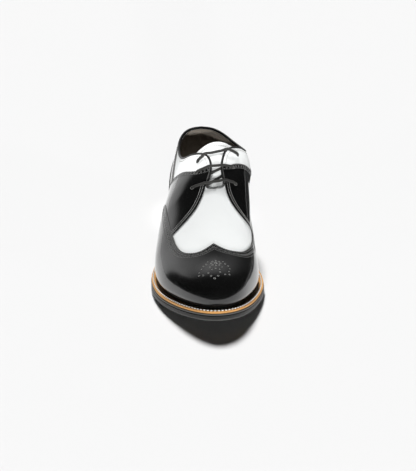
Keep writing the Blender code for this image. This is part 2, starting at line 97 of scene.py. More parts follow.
def along_at(station):
    """Distance along the feather line: stations crowd towards the back and the toe."""
    back, tip = FEATHER["along"][[0, -1]]
    return back + (tip - back) * (1 - np.cos(np.pi * station)) / 2


def station_at(along):
    """The station at a distance along the feather line."""
    back, tip = FEATHER["along"][[0, -1]]
    return np.arccos(np.clip(1 - 2 * (along - back) / (tip - back), -1, 1)) / np.pi


feather_across = {
    side: curve_through(station_at(FEATHER["along"]), FEATHER[side]) for side in SIDES
}
sole_reach = {side: curve_through(SOLE_EDGE["along"], SOLE_EDGE[side]) for side in SIDES}


def sole_bottom(along):
    """Height of the outsole's underside: heel seat, shank, flat tread and toe spring."""
    along = np.asarray(along, float)
    seat = HEEL_HEIGHT - HEEL_PITCH * along / BREAST
    run = FLAT_START - BREAST
    u = np.clip((along - BREAST) / run, 0, 1)
    shank = (HEEL_HEIGHT - HEEL_PITCH) * (1 + 2 * u) * (1 - u) ** 2
    shank = shank - HEEL_PITCH / BREAST * run * u * (1 - u) ** 2
    rise = np.clip((along - FLAT_END) / (SOLE_LENGTH - FLAT_END), 0, None)
    toe = TOE_SPRING * rise**TOE_SPRING_POWER
    return np.where(along < BREAST, seat, np.where(along < FLAT_START, shank, toe))


def outward_at(side, station):
    """Direction in plan, (across, along), square to the feather line, out of the foot."""
    near = np.clip(station, 1e-4, 1) - 1e-4
    far = np.clip(station, 0, 1 - 1e-4) + 1e-4
    across = feather_across[side](far) - feather_across[side](near)
    along = along_at(far) - along_at(near)
    length = np.hypot(across, along)
    at_end = (station <= 0) | (station >= 1)
    return np.where(at_end, 0.0, SIDES[side] * along / length), -SIDES[side] * across / length


def sole_ring(stations, reach):
    """Closed outline in plan: up the lateral side and back down the medial one."""
    lines = []
    for side in SIDES:
        line = np.stack([feather_across[side](stations), along_at(stations)], -1)
        past = np.reshape(reach(side, stations), (-1, 1))
        lines.append(line + past * np.stack(outward_at(side, stations), -1))
    return np.concatenate([lines[0], lines[1][-2:0:-1]])


def over_sole(lift):
    """Height of a layer that follows the sole's underside."""
    return lambda along: sole_bottom(along) + lift


def trimmed(inset):
    """Reach of an outline past the feather line: the sole's edge, cut back by an inset."""
    return lambda side, stations: sole_reach[side](along_at(stations)) - inset


def layers(rings, heights, capped):
    """Faces through outlines stacked from bottom to top, or round a hoop if not capped."""
    points = [np.column_stack([ring, height(ring[:, 1])]) for ring, height in zip(rings, heights)]
    size = len(points[0])
    count = len(points)
    faces = []
    for level in range(count - 1 if capped else count):
        above = (level + 1) % count
        for i in range(size):
            k = (i + 1) % size
            faces.append((level * size + i, level * size + k, above * size + k, above * size + i))
    if capped:
        for start in (0, (count - 1) * size):
            for i in range(size // 2):
                face = [i, i + 1, (size - i - 1) % size, (size - i) % size]
                faces.append(tuple(dict.fromkeys(start + corner for corner in face)))
    return np.concatenate(points), faces


CENTRE_ACROSS, CENTRE_ALONG = -1.23, 152.27


def place(points):
    """Shoe sizes in millimetres to the row frame in metres, toe towards -Y."""
    across, along, height = np.moveaxis(np.asarray(points, float), -1, 0)
    return np.stack([across - CENTRE_ACROSS, CENTRE_ALONG - along, height], -1) / 1000


def fill(tree, node, inputs):
    """Set a node's inputs, or link those that are given another node's output."""
    for label, value in inputs.items():
        if isinstance(value, bpy.types.NodeSocket):
            tree.links.new(value, node.inputs[label])
        else:
            node.inputs[label].default_value = value


def add_node(tree, kind, inputs=None, out=0, **settings):
    """One output of a new node with its settings and inputs."""
    node = tree.nodes.new(kind)
    for label, value in settings.items():
        setattr(node, label, value)
    fill(tree, node, inputs or {})
    return node.outputs[out]


def mixed(tree, share, *colours):
    """One colour, or the output of a node, running into another by a share."""
    mix = add_node(tree, "ShaderNodeMix", {0: share}, 2, data_type="RGBA")
    for socket, colour in zip((6, 7), colours):
        fixed = not isinstance(colour, bpy.types.NodeSocket)
        fill(tree, mix.node, {socket: (*colour, 1) if fixed else colour})
    return mix


def bumped(tree, texture, strength, height):
    """A face that a texture raises by a height in metres."""
    return add_node(
        tree, "ShaderNodeBump", {"Strength": strength, "Distance": height, "Height": texture}
    )


def new_material(name):
    """A material, its tree and its shader."""
    material = bpy.data.materials.new(name)
    material.use_nodes = True
    return material, material.node_tree, material.node_tree.nodes["Principled BSDF"]


BLOTCH_SCALE, GRAIN_HEIGHT = 60, 0.0004


def leather(name, colour, tone, roughness, grain, depth, coat=0.0, coat_roughness=0.1):
    """Leather with a soft change of colour, a fine grain in its face and an uneven polish."""
    material, tree, shader = new_material(name)
    spot = add_node(tree, "ShaderNodeTexCoord", out="Object")
    blotch = add_node(
        tree, "ShaderNodeTexNoise", {"Scale": BLOTCH_SCALE, "Detail": 4, "Vector": spot}, "Fac"
    )
    pores = add_node(
        tree, "ShaderNodeTexNoise", {"Scale": grain, "Detail": 3, "Vector": spot}, "Fac"
    )
    low, high = roughness
    polish = add_node(tree, "ShaderNodeMapRange", {"Value": blotch, "To Min": low, "To Max": high})
    fill(
        tree, shader,
        {
            "Base Color": mixed(tree, blotch, colour, tone), "Roughness": polish,
            "Normal": bumped(tree, pores, depth, GRAIN_HEIGHT),
            "Coat Weight": coat, "Coat Roughness": coat_roughness,
        },
    )
    return material


def add_piece(name, mesh, slot, *nodes, angle=None):
    """A finished mesh as a piece of the shoe, in place of the named solids."""
    for polygon in mesh.polygons:
        polygon.use_smooth = True
    if angle:
        mesh.set_sharp_from_angle(angle=np.radians(angle))
    piece = bpy.data.objects.new(name, mesh)
    bpy.context.scene.collection.objects.link(piece)
    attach(piece, "root")
    if nodes:
        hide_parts(*nodes)
    return piece


def new_mesh(name, points, faces, *materials):
    """A mesh from shoe sizes; the row frame mirrors them, so the faces are listed backwards."""
    mesh = bpy.data.meshes.new(name)
    mesh.from_pydata(place(points).tolist(), [], [tuple(map(int, face[::-1])) for face in faces])
    for material in materials:
        mesh.materials.append(material)
    return mesh


def turned_out(mesh):
    """The same mesh with every face turned to the outside of its solid."""
    work = bmesh.new()
    work.from_mesh(mesh)
    bmesh.ops.recalc_face_normals(work, faces=work.faces)
    work.to_mesh(mesh)
    work.free()
    return mesh


def add_solid(name, solid, material, slot, *nodes, angle):
    """A closed solid of (points, faces) in shoe sizes as a piece of the shoe."""
    return add_piece(name, turned_out(new_mesh(name, *solid, material)), slot, *nodes, angle=angle)


EDGE_STATIONS = np.linspace(0, 1, 161)
# The third column paints the edge lighter grey on the crest of the top bead and at the bottom
# chamfer: painted highlight lines, the bottom one also rubbing wear.
OUTSOLE_PROFILE = table(
    "inset height worn",
    [
        (1.7, 0, 0), (0.9, 0.25, 0.2), (0.4, 0.7, 1), (0.15, 1.3, 0.6), (0.1, 2.2, 0),
        (0.15, 3.6, 0), (0.3, 4.7, 0), (0.75, 5.0, 0), (1.0, 5.35, 0), (0.75, 5.65, 0),
        (0.25, 5.9, 0.2), (0.05, 6.4, 0.8), (0.25, 6.9, 1), (0.7, 7.25, 0.6), (1.2, OUTSOLE, 0.1),
    ],
)
# Lighter grey mixed into the waxed black along those rows: painted highlight, with some rubbing
# wear at the bottom edge.
SHEEN_AND_WEAR_GREY = (0.13, 0.13, 0.128)
sole_leather = leather(
    "sole_black", (0.012, 0.012, 0.012), (0.02, 0.02, 0.019), (0.34, 0.5), 900, 0.25
)
sole_tree = sole_leather.node_tree
lit_and_worn_share = add_node(sole_tree, "ShaderNodeAttribute", out="Fac", attribute_name="worn")
waxed = sole_tree.nodes["Principled BSDF"].inputs["Base Color"]
sole_tree.links.new(mixed(sole_tree, lit_and_worn_share, waxed.links[0].from_socket, SHEEN_AND_WEAR_GREY), waxed)
outsole = layers(
    [sole_ring(EDGE_STATIONS, trimmed(inset)) for inset in OUTSOLE_PROFILE["inset"]],
    map(over_sole, OUTSOLE_PROFILE["height"]),
    True,
)
outsole_mesh = turned_out(new_mesh("outsole_plate", *outsole, sole_leather))
outsole_mesh.attributes.new("worn", "FLOAT", "POINT").data.foreach_set(
    "value", np.repeat(OUTSOLE_PROFILE["worn"], 2 * len(EDGE_STATIONS) - 2).astype(np.float32)
)
add_piece("outsole_plate", outsole_mesh, "sole_black", "outsole", angle=50)


# Heel: leather lifts pressed into one block under the seat, waxed black, with a joint line
# above its wearing piece and a straight breast.
HEEL_PROFILE = table(
    "inset part",
    [
        (3.0, 0), (2.5, 0.03), (2.2, 0.12), (2.1, 0.25), (2.6, 0.275), (2.6, 0.285), (2.0, 0.31),
        (1.9, 0.45), (1.65, 0.7), (1.3, 1),
    ],
)
HEEL_STATIONS = np.linspace(0, station_at(BREAST), 49)
HEEL_SEAT = 0.02
heel = layers(
    [sole_ring(HEEL_STATIONS, trimmed(inset)) for inset in HEEL_PROFILE["inset"]],
    [
        lambda along, part=part: part * (sole_bottom(along) - HEEL_SEAT)
        for part in HEEL_PROFILE["part"]
    ],
    True,
)
add_solid("heel_block", heel, sole_leather, "sole_black", "heel", angle=40)


# Welt: a strip of tan leather laid round the feather line and sewn down to the outsole. Its
# upper edge is left pale, with a row of thick white stitches along its middle.
WELT_PROFILE = table(
    "past_feather inset height",
    [
        (-4.0, 0, 0), (0, 1.6, 0), (0, 0.9, 0.35), (0, 0.65, 1.0), (0, 0.65, 1.9), (0, 0.95, 2.5),
        (0, 1.7, 2.85), (0, 2.6, WELT), (-4.0, 0, WELT),
    ],
)
WELT_BED = 0.1
welt = layers(
    [
        sole_ring(EDGE_STATIONS, (lambda side, s, past=past: past) if past else trimmed(inset))
        for past, inset in zip(WELT_PROFILE["past_feather"], WELT_PROFILE["inset"])
    ],
    [over_sole(OUTSOLE + WELT_BED + up) for up in WELT_PROFILE["height"]],
    False,
)
welt_leather = leather(
    "welt_tan", (0.62, 0.33, 0.11), (0.47, 0.23, 0.075), (0.45, 0.62), 1400, 0.35
)
add_solid("welt_strip", welt, welt_leather, "welt_tan", "welt", angle=60)


def node_group(name, inputs):
    """An empty tree for repeated small shapes, with its named sizes as inputs."""
    tree = bpy.data.node_groups.new(name, "GeometryNodeTree")
    tree.interface.new_socket("Geometry", in_out="INPUT", socket_type="NodeSocketGeometry")
    for label, kind in inputs:
        tree.interface.new_socket(label, in_out="INPUT", socket_type=kind)
    tree.interface.new_socket("Geometry", in_out="OUTPUT", socket_type="NodeSocketGeometry")
    return tree, tree.nodes.new("NodeGroupInput"), tree.nodes.new("NodeGroupOutput")


def turned_to(tree, ahead, up):
    """Rotation with X along ahead and Z along up."""
    along = add_node(tree, "FunctionNodeAlignRotationToVector", {"Vector": ahead}, axis="X")
    return add_node(
        tree, "FunctionNodeAlignRotationToVector", {"Rotation": along, "Vector": up},
        axis="Z", pivot_axis="X",
    )


def kept_on(tree, name, kind):
    """What a guide keeps on its points or faces under a name."""
    return add_node(tree, "GeometryNodeInputNamedAttribute", {"Name": name}, data_type=kind)


def ending(tree, geometry, outgoing, *paints):
    """Make the shapes real and smooth, and paint them with one material after another."""
    for kind in ("GeometryNodeRealizeInstances", "GeometryNodeSetShadeSmooth"):
        geometry = add_node(tree, kind, {"Geometry": geometry})
    for paint in paints:
        geometry = add_node(tree, "GeometryNodeSetMaterial", {"Geometry": geometry, **paint})
    tree.links.new(geometry, outgoing.inputs["Geometry"])


STITCHES, stitch_in, stitch_out = node_group(
    "stitch_row",
    [("Pitch", "NodeSocketFloat"), ("Size", "NodeSocketVector"), ("Thread", "NodeSocketMaterial")],
)
stitch_line = add_node(
    STITCHES, "GeometryNodeMeshToCurve", {"Mesh": stitch_in.outputs["Geometry"]}
)
stitch_line = add_node(
    STITCHES, "GeometryNodeResampleCurve",
    {"Curve": stitch_line, "Length": stitch_in.outputs["Pitch"]}, mode="LENGTH",
)
stitch = add_node(STITCHES, "GeometryNodeMeshUVSphere", {"Segments": 6, "Rings": 4, "Radius": 0.5})
stitch = add_node(
    STITCHES, "GeometryNodeTransform", {"Geometry": stitch, "Scale": stitch_in.outputs["Size"]}
)
ahead = add_node(STITCHES, "GeometryNodeInputTangent")
laid = add_node(
    STITCHES, "GeometryNodeInstanceOnPoints",
    {
        "Points": stitch_line, "Instance": stitch,
        "Rotation": turned_to(STITCHES, ahead, kept_on(STITCHES, "up", "FLOAT_VECTOR")),
    },
)
ending(STITCHES, laid, stitch_out, {"Material": stitch_in.outputs["Thread"]})


def grown(name, guide, tree, slot, **inputs):
    """The piece that a tree grows on a guide mesh, as a plain mesh."""
    holder = bpy.data.objects.new(name + "_guide", guide)
    bpy.context.scene.collection.objects.link(holder)
    growth = holder.modifiers.new(name, "NODES")
    growth.node_group = tree
    for item in tree.interface.items_tree:
        if item.in_out == "INPUT" and item.name in inputs:
            growth[item.identifier] = inputs[item.name]
    bpy.context.view_layer.update()
    seen = holder.evaluated_get(bpy.context.evaluated_depsgraph_get())
    mesh = bpy.data.meshes.new_from_object(seen)
    mesh.name = name
    bpy.data.objects.remove(holder, do_unlink=True)
    return add_piece(name, mesh, slot)


def guide_of(name, lines, **kept):
    """Lines of points as one guide mesh of edges, with numbers or directions kept on points."""
    edges = []
    start = 0
    for line in lines:
        edges += [(start + i, start + i + 1) for i in range(len(line) - 1)]
        start += len(line)
    guide = bpy.data.meshes.new(name)
    guide.from_pydata(place(np.concatenate(lines)).tolist(), edges, [])
    for key, values in kept.items():
        values = np.concatenate(values).astype(np.float32)
        if values.ndim == 1:
            guide.attributes.new(key, "FLOAT", "POINT").data.foreach_set("value", values)
        else:
            values = (values * (1, -1, 1)).astype(np.float32)
            guide.attributes.new(key, "FLOAT_VECTOR", "POINT").data.foreach_set(
                "vector", values.ravel()
            )
    return guide


DYE_SCALE, DYE_TONE, PLY_SCALE, PLY_DEPTH, PLY_HEIGHT = 350, 0.75, 900, 0.3, 0.0002


def thread(name, colour, roughness):
    """Waxed thread: an uneven dye, and plied strands shown as a fine bump."""
    material, tree, shader = new_material(name)
    spot = add_node(tree, "ShaderNodeTexCoord", out="Object")
    dye = add_node(tree, "ShaderNodeTexNoise", {"Scale": DYE_SCALE, "Vector": spot}, "Fac")
    ply = add_node(tree, "ShaderNodeTexWave", {"Scale": PLY_SCALE, "Vector": spot}, "Fac")
    fill(
        tree, shader,
        {
            "Base Color": mixed(tree, dye, colour, DYE_TONE * np.array(colour)),
            "Roughness": roughness, "Normal": bumped(tree, ply, PLY_DEPTH, PLY_HEIGHT),
        },
    )
    return material


ROW_SHARE, ROW_SHIFT, ROW_LIFT = 0.58, 0.3, 0.25
WELT_STITCH = dict(Pitch=0.0036, Size=(0.0030, 0.0018, 0.0016))
white_thread = thread("white_thread", (0.92, 0.90, 0.86), 0.55)
welt_line = sole_ring(EDGE_STATIONS, lambda side, s: ROW_SHARE * trimmed(0)(side, s) + ROW_SHIFT)
welt_line = np.concatenate([welt_line, welt_line[:1]])
welt_line = np.column_stack([welt_line, sole_bottom(welt_line[:, 1]) + OUTSOLE + WELT + ROW_LIFT])
grown(
    "welt_stitches",
    guide_of("welt_line", [welt_line], up=[np.tile((0.0, 0.0, 1.0), (len(welt_line), 1))]),
    STITCHES, "white_leather", Thread=white_thread, **WELT_STITCH,
)


# Insole: the leather floor that the upper is lasted to, resting inside the welt. A thin dark
# sock lining is glued over it.
INSOLE_INSET, INSOLE, INSOLE_BED, BEVEL, BEVEL_DROP = 5.4, 4.6, 0.2, 0.5, 0.3
sock_leather = leather(
    "insole_brown", (0.07, 0.055, 0.045), (0.05, 0.04, 0.034), (0.6, 0.8), 1100, 0.3
)
insole = layers(
    [
        sole_ring(EDGE_STATIONS, lambda side, s, cut=cut: -INSOLE_INSET - cut)
        for cut in (0, 0, BEVEL)
    ],
    [over_sole(OUTSOLE + up) for up in (INSOLE_BED, INSOLE - BEVEL_DROP, INSOLE)],
    True,
)
add_solid("insole_sock", insole, sock_leather, "insole_brown", "insole", angle=50)


# Upper: white leather pulled over the last, with a dark leather lining glued inside. It is
# open at the collar and the throat, and its lower edge turns in over the welt.
WALL, TUCK_DEPTH, TUCK_HEIGHT = 2.2, 3.2, 7.0
VAMP_START, CLOSING_START, CLOSING_RUN = 0.53, 0.455, 0.07
OPEN_EDGE = table(
    "station along gap height medial_rise lean turn high",
    [
        (0.000, 8.5, 0.0, 95.0, 0.0, 78, -90, 0.33),
        (0.080, 11.8, 13.0, 94.0, 0.0, 78, -60, 0.33),
        (0.170, 24.0, 24.4, 89.5, 1.0, 78, -30, 0.33),
        (0.260, 46.0, 31.9, 84.0, 4.0, 78, -8, 0.33), (0.330, 67.0, 34.2, 84.0, 6.5, 70, 0, 0.34),
        (0.380, 84.0, 30.3, 91.0, 7.0, 53, 5, 0.34), (0.410, 94.5, 22.4, 98.5, 6.5, 38, 8, 0.32),
        (0.430, 101.0, 13.5, 101.0, 5.5, 25, 12, 0.345),
        (0.455, 110.5, 8.4, 99.4, 3.5, 16, 14, 0.37),
        (0.495, 127.0, 6.8, 93.3, 1.8, 13, 15, 0.38),
        (0.530, 143.0, 9.8, 84.0, 1.2, 17, 16, 0.37),
        (0.550, 149.0, 8.0, 80.3, 0.5, 13, 16, 0.38), (0.565, 151.5, 0.0, 79.3, 0.0, 0, 16, 0.40),
    ],
)
RIDGE = table(
    "station along height turn high",
    [
        (0.430, 100.0, 103.2, 14, 0.40), (0.455, 110.5, 100.4, 14, 0.40),
        (0.495, 126.0, 94.3, 15, 0.40), (0.530, 140.0, 86.9, 16, 0.40),
        (0.565, 154.0, 79.3, 16, 0.40), (0.600, 168.5, 72.3, 17, 0.39),
        (0.650, 190.0, 63.7, 20, 0.37), (0.700, 210.0, 57.8, 27, 0.37),
        (0.800, 235.5, 51.9, 46, 0.42), (0.900, 249.5, 49.45, 69, 0.48),
        (1.000, 254.0, 48.9, 90, 0.52),
    ],
)
THROAT = table(
    "station share",
    [
        (0.000, 1.0), (0.200, 1.0), (0.340, 1.0), (0.380, 0.994), (0.410, 0.965), (0.435, 0.933),
        (0.455, 0.916), (0.475, 0.930), (0.495, 0.933), (0.515, 0.914), (0.525, 0.904),
        (0.534, 0.903), (0.541, 0.917), (0.547, 0.950), (0.551, 1.0),
    ],
)
MIDDLE = table(
    "along across",
    [
        (0, 1.0), (30, 4.8), (60, 10.5), (100, 13.2), (150, 10.0),
        (200, 5.5), (240, 3.5), (262, 3.0), (298.5, 2.5),
    ],
)
flare_at = curve_through(FEATHER["along"], FEATHER["flare"])
low_at = curve_through(FEATHER["along"], FEATHER["low"])
middle_at = curve_through(MIDDLE["along"], MIDDLE["across"])
ridge_height = curve_through(RIDGE["along"], RIDGE["height"])
ridge_along = curve_through(along_at(RIDGE["station"]), RIDGE["along"])
ridge_turn = curve_through(RIDGE["station"], RIDGE["turn"])
ridge_high = curve_through(RIDGE["station"], RIDGE["high"])
open_edge = {name: curve_through(OPEN_EDGE["station"], row) for name, row in OPEN_EDGE.items()}
throat_share = curve_through(THROAT["station"], THROAT["share"])


def towards_middle(side, turn, along):
    """Direction over the instep at the top of a rib, turned back from straight across."""
    near = np.clip(along, RIDGE["along"][0] + 0.5, RIDGE["along"][-1] - 0.5)
    slope = np.where(turn < 0, 0.0, ridge_height(near + 0.5) - ridge_height(near - 0.5))
    back = -np.sin(turn) / np.hypot(1, slope)
    return np.stack([-SIDES[side] * np.cos(turn), back, back * slope], -1)


def edge_top(side, station):
    """(point, direction, handle share) of a rib that ends at the open edge."""
    edge = {name: curve(station) for name, curve in open_edge.items()}
    rise = edge["medial_rise"] if side == "medial" else 0.0
    across = middle_at(edge["along"]) + SIDES[side] * edge["gap"]
    lean = np.radians(edge["lean"])
    direction = towards_middle(side, np.radians(edge["turn"]), edge["along"])
    direction = np.cos(lean)[..., None] * direction
    direction[..., 2] += np.sin(lean)
    return np.stack([across, edge["along"], edge["height"] + rise], -1), direction, edge["high"]


def ridge_top(side, station):
    """(point, direction, handle share) of a rib that runs on to the middle of the shoe."""
    along = ridge_along(along_at(station))
    rise = open_edge["medial_rise"](station) if side == "medial" else 0.0
    direction = towards_middle(side, np.radians(ridge_turn(station)), along)
    height = ridge_height(along) + rise
    return np.stack([middle_at(along), along, height], -1), direction, ridge_high(station)


def rib(side, station, share, top, end, high):
    """Points on the ribs of the upper: share runs up a rib from the feather line."""
    along = along_at(station)
    lift = OUTSOLE + WELT + 2 * SEAT
    foot = np.stack([feather_across[side](station), along, sole_bottom(along) + lift], -1)
    flare = np.radians(flare_at(along))
    out_across, out_along = outward_at(side, station)
    start = np.stack(
        [np.sin(flare) * out_across, np.sin(flare) * out_along, np.cos(flare)], -1
    )
    chord = np.linalg.norm(top - foot, axis=-1)
    low_handle = foot + (low_at(along) * chord)[..., None] * start
    high_handle = top - (high * chord)[..., None] * end
    tuck = TUCK_DEPTH * np.clip(1 - share * chord / TUCK_HEIGHT, 0, 1) ** 2
    t = share[..., None]
    return (
        foot * (1 - t) ** 3
        + 3 * low_handle * (1 - t) ** 2 * t
        + 3 * high_handle * (1 - t) * t**2
        + top * t**3
        - tuck[..., None] * np.stack([out_across, out_along, np.zeros_like(tuck)], -1)
    )


def upper_face(side, station, share):
    """Points on the outside of the upper. Behind the instep the ribs end at the open edge, and
    in front of it they run on to the middle, so the throat is only a line cut in the face."""
    station, share = np.broadcast_arrays(np.asarray(station, float), np.asarray(share, float))
    closing = np.clip((station - CLOSING_START) / CLOSING_RUN, 0, 1)
    closing = (closing**2 * (3 - 2 * closing))[..., None]
    behind = np.minimum(station, VAMP_START)
    opened = rib(side, station, share / throat_share(behind), *edge_top(side, behind))
    closed = rib(side, station, share, *ridge_top(side, station))
    return opened + closing * (closed - opened)


def unit(vectors):
    """The same directions, each one long."""
    return vectors / np.linalg.norm(vectors, axis=-1, keepdims=True)


def slopes(side, station, share):
    """How the face moves with the station and with the share, and its unit normal."""
    step = 1e-3
    share = np.where(station >= 1, np.minimum(share, 0.99), share)
    before = np.clip(share - step, 0, 1)
    after = np.clip(share + step, 0, 1)
    up = upper_face(side, station, after) - upper_face(side, station, before)
    up = up / (after - before)[..., None]
    near, far = station - step, station + step
    forward = (upper_face(side, far, share) - upper_face(side, near, share)) / (2 * step)
    return forward, up, unit(np.cross(forward, up) * SIDES[side])


def welded(patches):
    """Patches of (points, faces, extra rows) as one: equal points become one."""
    points = np.concatenate([patch[0] for patch in patches])
    extra = np.concatenate([patch[2] for patch in patches])
    _, first, index = np.unique(np.round(points, 3), axis=0, return_index=True, return_inverse=True)
    index = index.reshape(-1)
    faces = []
    start = 0
    for patch_points, patch_faces, _ in patches:
        for face in patch_faces:
            corners = list(dict.fromkeys(int(index[start + corner]) for corner in face))
            if len(corners) > 2:
                faces.append(corners)
        start += len(patch_points)
    return points[first], faces, extra[first]


def boundary(faces):
    """Half edges that only one face uses."""
    used = {(a, b) for face in faces for a, b in zip(face, face[1:] + face[:1])}
    return [(a, b) for a, b in used if (b, a) not in used]


WALL_STATIONS = np.unique(np.concatenate([np.linspace(0, 1, 181), np.linspace(0.53, 0.565, 22)]))
WALL_SHARES = np.linspace(0, 1, 61)
wall = []
for side in SIDES:
    station, share = np.meshgrid(WALL_STATIONS, WALL_SHARES, indexing="ij")
    share = share * np.minimum(throat_share(station), 1)
    width = len(WALL_SHARES)
    quads = [
        [a, a + width, a + width + 1, a + 1]
        for i in range(len(WALL_STATIONS) - 1)
        for a in range(i * width, (i + 1) * width - 1)
    ]
    if side == "lateral":
        quads = [face[::-1] for face in quads]
    normal = slopes(side, station, share)[2]
    wall.append((upper_face(side, station, share).reshape(-1, 3), quads, normal.reshape(-1, 3)))
wall_points, wall_faces, wall_out = welded(wall)
inside_start = len(wall_points)
rim = [[b, a, a + inside_start, b + inside_start] for a, b in boundary(wall_faces)]
white_leather = leather(
    "white_leather", (0.77, 0.785, 0.78), (0.74, 0.755, 0.75), (0.4, 0.5), 1300, 0.12, 0.06, 0.25
)
# The lining is painted a much lighter brown than the dark lining leather: painted light for the dim
# inside of the shoe.
lining_painted_light = leather(
    "lining_brown_painted_light", (0.430, 0.380, 0.320), (0.335, 0.295, 0.250), (0.5, 0.7), 1000, 0.3
)
upper_mesh = new_mesh(
    "upper_shell",
    np.concatenate([wall_points, wall_points - WALL * wall_out]),
    wall_faces + [[c + inside_start for c in face[::-1]] for face in wall_faces] + rim,
    white_leather,
    lining_painted_light,
)
for number, polygon in enumerate(upper_mesh.polygons):
    polygon.material_index = int(len(wall_faces) <= number < 2 * len(wall_faces))
add_piece("upper_shell", upper_mesh, "white_leather", "upper", angle=60)


# Wing tip: black polished leather cut with a gimped edge and sewn over the vamp. Its edge
# carries two rows of stitches with punched holes between them, and the toe a medallion.
PLAN_SCALE = np.array([460.0, 80.0])
EDGE_SPACING, SHEET_SPACING, LOWEST_SHARE = 0.4, 3.0, 0.002
GIMP_DEPTH, GIMP_PITCH = 0.7, 2.2


def run_along(points):
    """How far along a line each of its points lies."""
    return np.concatenate([[0], np.cumsum(np.linalg.norm(np.diff(points, axis=0), axis=1))])


def drawn(rows):
    """Smooth line of (station, share) through a short table, at an even spacing in mm."""
    rows = np.array(rows, float)
    reach = run_along(rows * PLAN_SCALE)
    t = np.linspace(0, reach[-1], max(2, int(reach[-1] / EDGE_SPACING)))
    return np.stack([curve_through(reach, column)(t) for column in rows.T], -1)


def moved_in(side, line, distance):
    """The line shifted across the upper by a distance in mm, to the left of its run."""
    line = line.copy()
    steps = max(1, int(np.ceil(np.max(np.abs(distance)))))
    for _ in range(steps):
        forward, up, normal = slopes(side, *line.T)
        ahead = unit(np.gradient(upper_face(side, *line.T), axis=0))
        left = np.cross(normal, ahead) * np.reshape(distance, (-1, 1)) / steps
        a, b, c = (forward**2).sum(1), (forward * up).sum(1), (up**2).sum(1)
        p, q = (left * forward).sum(1), (left * up).sum(1)
        line += np.stack([c * p - b * q, a * q - b * p], -1) / (a * c - b * b)[:, None]
        line = np.clip(line, (0, LOWEST_SHARE), (1, 1))
    return line


INSIDE = {"lateral": 1, "medial": -1}


def gimped(side, line):
    """The line cut in small teeth."""
    reach = run_along(upper_face(side, *line.T))
    depth = GIMP_DEPTH * INSIDE[side]
    return moved_in(side, line, depth * np.abs(((reach / GIMP_PITCH) % 1) * 2 - 1))


def rounded_sheet(points, faces, normal, low, high, edge):
    """A closed sheet between two heights over points, with a rounded edge: points, faces, normals
    and the number of its first edge face."""
    ends = boundary(faces)
    out = np.zeros_like(points)
    for a, b in ends:
        side_way = np.cross(points[b] - points[a], 0.5 * (normal[a] + normal[b]))
        out[[a, b]] += side_way / max(np.linalg.norm(side_way), 1e-9)
    rim = sorted({corner for pair in ends for corner in pair})
    out[rim] /= np.maximum(np.linalg.norm(out[rim], axis=1, keepdims=True), 1e-9)
    rows = [points + high * normal]
    facing = [normal]
    place_of = {old: new for new, old in enumerate(rim)}
    for outset, drop, lean in ((0.7, 0.3, 0.5), (1.0, 1.0, 1.0)):
        rows.append((points + (high - drop * edge) * normal + outset * edge * out)[rim])
        facing.append(((1 - lean) * normal + lean * out)[rim])
    rows.append(points + low * normal + edge * out)
    facing.append(-normal)
    start = np.cumsum([0] + [len(row) for row in rows])
    solid = [list(face) for face in faces]
    solid += [[corner + start[3] for corner in face[::-1]] for face in faces]
    for a, b in ends:
        ring_a = [a, start[1] + place_of[a], start[2] + place_of[a], start[3] + a]
        ring_b = [b, start[1] + place_of[b], start[2] + place_of[b], start[3] + b]
        for k in range(3):
            solid.append([ring_b[k], ring_a[k], ring_a[k + 1], ring_b[k + 1]])
    return np.concatenate(rows), solid, unit(np.concatenate(facing)), 2 * len(faces)


def cut_sheet(outlines, low, high, edge):
    """A leather sheet cut to outlines on the upper, from low to high above its face."""
    patches = []
    for side, outline in outlines.items():
        outline = np.array(outline)
        corner = outline.min(0)
        span = outline.max(0) - corner
        count = np.maximum(2, (span * PLAN_SCALE / SHEET_SPACING).astype(int))
        grid = np.stack(np.meshgrid(*[np.linspace(0, 1, n + 2)[1:-1] for n in count]), -1)
        spots = np.concatenate([outline, corner + span * grid.reshape(-1, 2)]) * PLAN_SCALE
        found = delaunay_2d_cdt(
            [Vector(spot) for spot in spots], [], [list(range(len(outline)))], 1, 1e-4
        )
        flat = np.array([tuple(spot) for spot in found[0]]) / PLAN_SCALE
        faces = [list(face) for face in found[2]]
        kept = sorted({corner for face in faces for corner in face})
        order = {old: new for new, old in enumerate(kept)}
        faces = [[order[corner] for corner in face] for face in faces]
        flat = np.clip(flat[kept], 0, 1)
        points = upper_face(side, *flat.T)
        normal = slopes(side, *flat.T)[2]
        first = faces[0]
        facing = np.cross(points[first[1]] - points[first[0]], points[first[2]] - points[first[0]])
        if np.dot(facing, normal[first[0]]) < 0:
            faces = [face[::-1] for face in faces]
        patches.append((points, faces, normal))
    return rounded_sheet(*welded(patches), low, high, edge)


def add_sheet(name, sheet, material, edge_material, slot, *nodes):
    """A closed sheet as a piece, its cut edge in a material of its own."""
    points, faces, facing, edge_start = sheet
    mesh = new_mesh(name, points, faces, material, edge_material)
    for number, polygon in enumerate(mesh.polygons):
        polygon.use_smooth = True
        polygon.material_index = int(number >= edge_start)
    mesh.normals_split_custom_set_from_vertices((facing * (1, -1, 1)).tolist())
    return add_piece(name, mesh, slot, *nodes)


